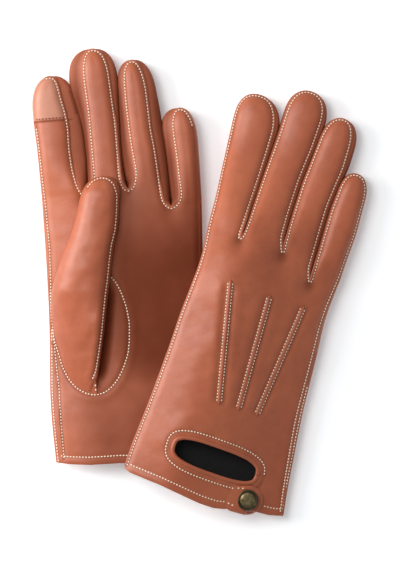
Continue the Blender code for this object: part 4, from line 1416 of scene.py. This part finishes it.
# %% Thumbs
THUMB_ROWS, THUMB_COLUMNS = 120, 36
HIDDEN = {"left": -50, "right": 3.5}  # how far in the thumb stays from the hand's edge
THUMB_LEFT_EDGE, THUMB_RIGHT_EDGE = pattern_curve(THUMB_LEFT, 3), pattern_curve(THUMB_RIGHT, 2.5)


def thumb_edges(v):
    tau = np.clip((v - THUMB_ROUND) / (THUMB_TIP[1] - THUMB_ROUND), 0, 1)
    shrink = (1 - tau ** TIP_POWER) ** (1 / TIP_POWER)
    low, high = THUMB_LEFT_EDGE(v), THUMB_RIGHT_EDGE(v)
    centre = mix((low + high) / 2, THUMB_TIP[0], tau ** 1.3)
    return centre - (high - low) / 2 * shrink, centre + (high - low) / 2 * shrink, shrink


def build_thumb(side, up):
    """A closed ring grid over the palm: up is 1 where the palm faces the viewer."""
    rows = []
    heights = np.array(THUMB_HEIGHT[side], float).T
    first = THUMB_LEFT[0][0]
    for k in range(THUMB_ROWS + 1):
        s = k / THUMB_ROWS
        v = mix(first, THUMB_TIP[1], mix(s, math.sin(s * math.pi / 2), 0.45))
        low, high, shrink = (float(x) for x in thumb_edges(v))
        low = max(low, float(GLOVES[side]["left_edge"](v)) + HIDDEN[side])
        free = float(smoothstep(92, 112, v))
        x = -np.cos(np.linspace(0, math.pi, THUMB_COLUMNS + 1))
        u = mix(low, high, (x + 1) / 2)
        bend = x - 0.22 * (1 - free) * (1 - x ** 2)
        dome = (1 - np.abs(bend) ** 3.0) ** 0.55
        root = np.clip((x + 1) / 2, 0, 1) ** 0.85 * np.clip(1 - np.abs(x) ** 9, 0, 1) ** 0.5
        shape = mix(mix(dome, root, 0.45), dome, free)
        palm = hand_at(side, u, v)
        if side == "left":
            palm = np.maximum(palm, 4.0 * free)
        tall = float(np.interp(v, *heights)) * shrink ** 0.9
        under = palm + mix(-1.2, 0.5, free)
        over = np.maximum(palm + 0.5 * free + tall * shape, under)
        top = np.column_stack([u, np.full_like(u, v), over])
        bottom = np.column_stack([u, np.full_like(u, v),
                                  under + 0.15 * tall * (1 - dome) * free])[1:-1][::-1]
        rows.append(np.concatenate([top, bottom]))
    points = np.concatenate(rows)
    faces = ring_faces(len(rows), len(rows[0]), 0)
    faces.append(list(range(len(rows[0])))[::-1])
    tags = ["thumb"] * len(faces)
    points, faces, tags = weld(points, faces, tags, 0.004)
    if up < 0:
        points[:, 2] *= -1
        faces = [face[::-1] for face in faces]
    return points, faces


def bend_thumb(piece, side):
    start = lay(side, [(-28, 99, 0)])[0]
    end = lay(side, [(-24, 120, 0)])[0]
    start[2] = end[2]
    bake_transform(piece, hand_body(side), f"{side}_thumb_body", start=tuple(start), end=tuple(end))


for side, glove in GLOVES.items():
    up = 1 if glove["palm_up"] else -1
    points, faces = build_thumb(side, up)
    u, v, h = points.T
    upper = (h - up * hand_at(side, u, v)) * up > 0.3
    seam = smooth_line(THUMB_SEAM, 1.2)
    d = distance_to(np.column_stack([u, v]), seam)
    groove = np.where(upper, -0.5 * bell(d, 0.8) + 0.3 * bell(d - 3, 1.8), 0)
    tall = np.abs(h) - hand_at(side, u, v)
    swell = waves(u, v, 5) * smoothstep(2, 8, tall)
    points[:, 2] += up * (groove * smoothstep(0.5, 3, tall) + 0.8 * swell)
    # painted shade in the groove along the thumb's seam
    shade = np.where(upper, 0.6 * bell(d, 0.8), 0)
    # painted shade along the folds of the small dart below the thumb
    dart_shade = np.exp(-((np.abs(u + 22.9) - (58 - v) * 0.45) / 0.8) ** 2) * (v > 48) * (v < 58)
    shade = np.maximum(shade, np.where(upper, dart_shade, 0))
    tree = surface(points, faces)
    world = lay(side, points)
    normals = vertex_normals(world, [face for face in faces if len(face) < 5])
    skin = piece_from(
        f"{side}_thumb_skin", world, faces, range(len(faces)), [LEATHER], normals, shade
    )
    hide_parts(f"{side}_thumb", f"{side}_thumb_base", f"{side}_thumb_lining")
    places, normals = project(tree, seam, up)
    normals = smooth_rows(normals, 4)
    normals /= np.linalg.norm(normals, axis=1)[:, None]
    profile = RIM_PROFILE if up == 1 else flipped(RIM_PROFILE)
    low_profile = tuple((x * 0.8, y * 0.7 - 0.1) for x, y in profile)
    p, f = sweep(places, normals, low_profile, taper=12)
    if up == -1:
        f = [q[::-1] for q in f]
    rim = new_object(f"{side}_thumb_rim", new_mesh("rim", lay(side, p), f), [RIM])
    thread = add_stitches(f"{side}_thumb_stitches", side, stitch_points(places, normals))
    for piece in (skin, rim, thread):
        bend_thumb(piece, side)
    # the oval seam in the palm
    oval = smooth_line(THUMB_OVAL, 1.5)
    oval[:, 0] = np.maximum(oval[:, 0], glove["left_edge"](oval[:, 1]) + max(HIDDEN[side] - 1, 0.6))
    places, normals = project(TREES[side], oval, up)
    normals = smooth_rows(normals, 4)
    rows = [
        stitch_points(places, normals),
        stitch_points(*project(tree, smooth_line(((-22.9, 49.4), (-22.9, 54.6)), 0), up))
    ]
    thread = add_stitches(f"{side}_thumb_oval_stitches", side, np.concatenate(rows))
    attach(thread, hand_body(side))


# %% [markdown]
# ## Points, vent, strap and snap
#
# The back has three raised tucks, each a fold sewn with two rows. The vent's edge is bound with a
# rolled strip, and below it the strap runs on into a rounded tab, which closes on a snap.

# %% Back details
POINT_PROFILE = (
    (-2.1, -0.6), (-1.75, -0.1), (-1.3, 0.12), (-0.75, 0.75), (0.0, 1.05), (0.75, 0.75),
    (1.3, 0.12), (1.75, -0.1), (2.1, -0.6)
)
ROLL = tuple(
    (1.25 * math.cos(a), 1.15 * math.sin(a))
    for a in np.linspace(0, 2 * math.pi, 14, endpoint=False)
)


def unit_rows(rows):
    return rows / np.maximum(np.linalg.norm(rows, axis=1), 1e-9)[:, None]


def turned(name, profile, place, up, material, steps=64):
    """A lathe: (radius, height) pairs turned about the axis up, at place in metres."""
    mesh = bmesh.new()
    rings = []
    for radius, height in profile:
        if radius < 1e-6:
            rings.append([mesh.verts.new((0, 0, height))])
        else:
            rings.append([mesh.verts.new((radius * math.cos(2 * math.pi * i / steps),
                                          radius * math.sin(2 * math.pi * i / steps), height))
                          for i in range(steps)])
    for low_ring, high_ring in zip(rings, rings[1:]):
        for i in range(steps):
            j = (i + 1) % steps
            corners = [
                low_ring[i % len(low_ring)], low_ring[j % len(low_ring)],
                high_ring[j % len(high_ring)], high_ring[i % len(high_ring)]
            ]
            corners = list(dict.fromkeys(corners))
            if len(corners) > 2:
                mesh.faces.new(corners)
    bmesh.ops.recalc_face_normals(mesh, faces=mesh.faces)
    made = bpy.data.meshes.new(name)
    mesh.to_mesh(made)
    mesh.free()
    turn = Vector((0, 0, 1)).rotation_difference(Vector(up)).to_matrix().to_4x4()
    made.transform(Matrix.Translation(place) @ turn @ Matrix.Scale(0.001, 4))
    return new_object(name, made, [material])


def tab_edges(u):
    """The strap's lower and upper edge at u, ending in a half circle round the snap."""
    lower = np.interp(u, (4, 10, 18, SNAP[0]), (2.6, 1.4, -0.8, SNAP[1] - TAB_RADIUS))
    upper = np.interp(u, (4, 10, 16, SNAP[0]), (11.5, 12.5, 14.8, SNAP[1] + TAB_RADIUS))
    beyond = np.clip((u - SNAP[0]) / TAB_RADIUS, 0, 1)
    half = TAB_RADIUS * math.sqrt(max(1 - beyond ** 2, 0))
    if u > SNAP[0]:
        lower, upper = SNAP[1] - half, SNAP[1] + half
    return lower, upper


def build_tab(tree, up):
    """The tab: a lined strip whose rounded edge lies on the skin."""
    columns = 22
    rows = []
    end = SNAP[0] + TAB_RADIUS
    for k in range(61):
        s = k / 60
        u = mix(4.0, end, math.sin(s * math.pi / 2))
        lower, upper = tab_edges(u)
        middle, half = (lower + upper) / 2, max((upper - lower) / 2, 0.02)
        rise = float(np.interp(u, (4, 10, 13, 17, 21, 25), (-1.4, -0.9, -0.35, 0.35, 1.2, 1.7)))
        t = np.linspace(-1, 1, columns + 1)
        ring = []
        for x in t:
            v = middle + half * np.sign(x) * abs(x) ** 0.9
            ring.append((u, v, x))
        places, _ = project(tree, [(max(u - 0.4, 0), min(max(v, 2.2), 30)) for u, v, _ in ring], up)
        base = up * places[:, 2]
        flat_base = mix(base, np.full_like(base, base.mean()), 0.55 * float(smoothstep(9, 18, u)))
        shrink = min(1.0, (half / 3.0)) ** 0.5
        edge = (1 - np.abs(t) ** 8) ** 0.5
        top = [
            (u, r[1], up * (b + rise * (0.25 + 0.75 * e) * shrink + 0.25 * (1 - x * x))) for r, b,
            e, x in zip(ring, flat_base, edge, t)
        ]
        bottom = [(u, r[1], up * (b + rise * 0.12 - 0.25)) for r, b in zip(ring, flat_base)]
        rows.append(np.array(top + bottom[1:-1][::-1]))
    points = np.concatenate(rows)
    faces = ring_faces(len(rows), len(rows[0]), 0)
    faces = [face[::-1] for face in faces] if up > 0 else faces
    return points, faces, len(rows[0])


for side, glove in GLOVES.items():
    up = -1 if glove["palm_up"] else 1
    tree = TREES[side]
    # three points
    swept, rows = [], []
    for (ua, va), (ub, vb) in POINTS:
        line = smooth_line(((ua, va + 2.2), (ub, vb - 1.2)), 0)
        places, normals = project(tree, line, up)
        normals = unit_rows(smooth_rows(normals, 6))
        p, f = sweep(places, normals, POINT_PROFILE, taper=4)
        swept.append((p, f))
        tangent = unit_rows(np.gradient(places, axis=0))
        right = np.cross(tangent, normals)
        for x in (-1.35, 1.35):
            row = places + right * x
            rows.append(stitch_points(row[3:-3], normals[3:-3], lift=0.22))
    p, f = joined(swept)
    ridge = new_object(f"{side}_back_points", new_mesh("points", lay(side, p), f), [LEATHER])
    # painted shade: darker at the tuck's foot and sides, lightest on its crest
    shade = np.tile([1.0, 0.9, 0.9, 0.1, 0.0, 0.1, 0.9, 0.9, 1.0], len(p) // len(POINT_PROFILE))
    layer = ridge.data.attributes.new("shade", "FLOAT", "POINT")
    layer.data.foreach_set("value", shade.astype(np.float32))
    thread = add_stitches(f"{side}_back_points_stitches", side, np.concatenate(rows), width=0.7)
    # rolled binding of the vent, and the row outside it
    ring = oval_line(0.2, 150)
    places, normals = project(tree, oval_line(1.6, 150), up)
    normals = unit_rows(smooth_rows(normals, 6))
    places[:, :2] = ring
    places[:, 2] = smooth_rows(places[:, 2:3], 5)[:, 0] - up * 0.1
    p, f = sweep(np.concatenate([places, places[:1]]), np.concatenate([normals, normals[:1]]), ROLL)
    roll = new_object(f"{side}_vent_binding_roll", new_mesh("roll", lay(side, p), f), [LEATHER])
    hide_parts(f"{side}_vent_binding")
    outer = oval_line(4.2, 200)
    open_end = ~((outer[:, 0] > 17) & (outer[:, 1] < VENT[1] - 1))
    first = int(np.flatnonzero(~open_end)[-1]) + 1 if (~open_end).any() else 0
    order = np.roll(np.arange(len(outer)), -first)
    order = order[open_end[order]]
    places, normals = project(tree, outer[order], up)
    vent_thread = add_stitches(
        f"{side}_vent_stitches", side, stitch_points(places, unit_rows(smooth_rows(normals, 4)))
    )
    # hem row, both faces of the cuff
    hem_rows = []
    for face in (1, -1):
        hem_u = np.linspace(-47, 47, 180)
        if face == up:
            hem_u = hem_u[(hem_u < 13.6) | (hem_u > 35.5)]
        runs = np.split(hem_u, np.flatnonzero(np.diff(hem_u) > 3) + 1)
        for run in runs:
            hem_v = np.interp(run, *np.array(glove["hem"], float).T) + 4.3
            low, high = glove["left_edge"](hem_v), glove["right_edge"](hem_v)
            line = np.column_stack([np.clip(run, low + 1, high - 1), hem_v])
            places, normals = project(tree, smooth_line(line, 1.0), face)
            hem_rows.append(stitch_points(places, unit_rows(smooth_rows(normals, 3))))
    hem_thread = add_stitches(f"{side}_hem_stitches", side, np.concatenate(hem_rows))
    # tab and snap
    points, faces, ring_count = build_tab(tree, up)
    welded, faces, _ = weld(points, faces, [""] * len(faces), 0.01)
    tab_tree = surface(welded, faces)
    tab = new_object(f"{side}_strap_tab", new_mesh("tab", lay(side, welded), faces), [LEATHER])
    bm = bmesh.new()
    bm.from_mesh(tab.data)
    holes = [e for e in bm.edges if e.is_boundary]
    bmesh.ops.holes_fill(bm, edges=holes, sides=0)
    bmesh.ops.recalc_face_normals(bm, faces=bm.faces)
    bm.to_mesh(tab.data)
    bm.free()
    face_out(tab.data)
    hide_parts(f"{side}_snap_tab")
    place, normal = project(tab_tree, [SNAP], up)
    seat = lay(side, place)[0]
    tilt = lay(side, place + normal * 0.5)[0] - seat
    tilt = Vector(tilt).normalized()
    cap = turned(f"{side}_snap_cap_rim", ((0, -0.4), (5.9, -0.4), (6.3, 0.1), (6.35, 0.8),
                                          (6.0, 1.35), (5.4, 1.5), (5.0, 1.3), (4.75, 0.95),
                                          (0, 0.9)),
                 seat, tilt, BRASS_DARK)
    dome = turned(
        f"{side}_snap_cap_dome",
        (
            (0, 0.85), (4.8, 0.85), (4.6, 1.1), (4.0, 1.4), (3.0, 1.62), (1.9, 1.74), (0.9, 1.8),
            (0, 1.8)
        ),
        seat, tilt, BRASS
    )
    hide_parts(f"{side}_snap_cap")
    strap_rows = []
    for line in (((14.4, 3.6), (17, 3.1), (19.3, 2.9)), ((17.4, 13.4), (20, 13.9), (22.5, 14.6))):
        places, normals = project(tab_tree, smooth_line(line, 0.4, 0.3), up)
        strap_rows.append(stitch_points(places, normals))
    strap_thread = add_stitches(f"{side}_strap_stitches", side, np.concatenate(strap_rows))
    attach(strap_thread, f"{side}_tab_body")
    for piece in (ridge, thread, roll, vent_thread, hem_thread):
        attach(piece, hand_body(side))
    for piece in (cap, dome):
        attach(piece, f"{side}_tab_body")
    hinge_start, hinge_end = lay(side, [(6.5, 7.8, 0), (12, 7.8, 0)])
    hinge_start[2] = hinge_end[2]
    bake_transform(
        tab, hand_body(side), f"{side}_tab_body", start=tuple(hinge_start), end=tuple(hinge_end)
    )
    frame["nodes"][f"{side}_snap_socket"].data.materials.clear()
    frame["nodes"][f"{side}_snap_socket"].data.materials.append(BRASS)
    frame["nodes"][f"{side}_snap_stud"].data.materials.clear()
    frame["nodes"][f"{side}_snap_stud"].data.materials.append(BRASS)


# %% [markdown]
# ## Lining
#
# A knit lining is sewn in at the hem and hangs inside the leather. It shows black through the
# vent and inside the cuff.

# %% Lining
def build_lining(side):
    columns = hand_columns(GLOVES[side])[::2]
    rows = []
    for s in np.linspace(0, 1, 46):
        ring = hand_ring(side, s * 0.97, columns, 2.3)
        ring[:, 1] += 6 * (1 - s)
        rows.append(ring)
    points = np.concatenate(rows)
    count = len(rows[0])
    return points, ring_faces(len(rows), count, 0), count


for side, glove in GLOVES.items():
    up = -1 if glove["palm_up"] else 1
    points, faces, count = build_lining(side)
    ring = inside_oval(points[:, 0], points[:, 1], 1.0)
    hole = (points[:, 2] * up > 1) & (ring < 1)
    faces = [face for face in faces if not any(hole[i] for i in face)]
    lining = new_object(
        f"{side}_hand_lining_knit", new_mesh("lining", lay(side, points), faces), [LINING]
    )
    solid = lining.modifiers.new("thick", "SOLIDIFY")
    solid.thickness, solid.offset = 0.0005, -1
    graph = bpy.context.evaluated_depsgraph_get()
    thick = bpy.data.meshes.new_from_object(lining.evaluated_get(graph))
    lining.modifiers.clear()
    lining.data = thick
    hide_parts(f"{side}_hand_lining")
    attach(lining, hand_body(side))


# %% [markdown]
# ## Floor, light and camera

# %% Stage
def area_light(name, place, aim, size, energy, colour=(1, 1, 1)):
    data = bpy.data.lights.new(name, "AREA")
    data.shape = "RECTANGLE"
    data.size, data.size_y = size
    data.energy = energy
    data.color = colour
    light = bpy.data.objects.new(name, data)
    bpy.context.scene.collection.objects.link(light)
    light.location = place
    light.rotation_euler = (Vector(aim) - Vector(place)).to_track_quat("-Z", "Y").to_euler()
    return light


def add_stage():
    size = 1.6
    mesh = new_mesh(
        "floor", [(-size, -size, 0), (size, -size, 0), (size, size, 0), (-size, size, 0)],
        [(0, 1, 2, 3)]
    )
    material = bpy.data.materials.new("white_paper")
    material.use_nodes = True
    shader = material.node_tree.nodes["Principled BSDF"]
    shader.inputs["Base Color"].default_value = (0.95, 0.955, 0.96, 1)
    shader.inputs["Emission Color"].default_value = (0.97, 0.985, 1, 1)
    shader.inputs["Emission Strength"].default_value = 0.20
    shader.inputs["Roughness"].default_value = 0.9
    shader.inputs["Specular IOR Level"].default_value = 0.1
    floor = new_object("floor", mesh, [material], smooth=False)
    floor.location.z = cad_low[2] - 0.0002
    floor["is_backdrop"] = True
    area_light("window", (-0.95, 0.22, 0.42), (0, 0, 0.01), (0.5, 0.8), 11)
    area_light("upper_left", (-0.55, 0.35, 1.25), (0, 0, 0), (0.55, 0.8), 10.5)
    world = bpy.data.worlds.new("studio")
    bpy.context.scene.world = world
    world.use_nodes = True
    background = world.node_tree.nodes["Background"]
    background.inputs["Color"].default_value = (0.94, 0.97, 1, 1)
    background.inputs["Strength"].default_value = 0.34
    centre = ((cad_low[0] + cad_high[0]) / 2 - 0.0012, (cad_low[1] + cad_high[1]) / 2 - 0.0005)
    data = bpy.data.cameras.new("camera")
    data.sensor_fit = "VERTICAL"
    distance = 2.2
    data.sensor_height = 24
    data.lens = 24 * distance / 0.3402
    camera = bpy.data.objects.new("camera", data)
    bpy.context.scene.collection.objects.link(camera)
    camera.location = (centre[0], centre[1], distance)
    bpy.context.scene.camera = camera
    bpy.context.scene.view_settings.view_transform = "Standard"


add_stage()

# %% Size
low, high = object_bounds()
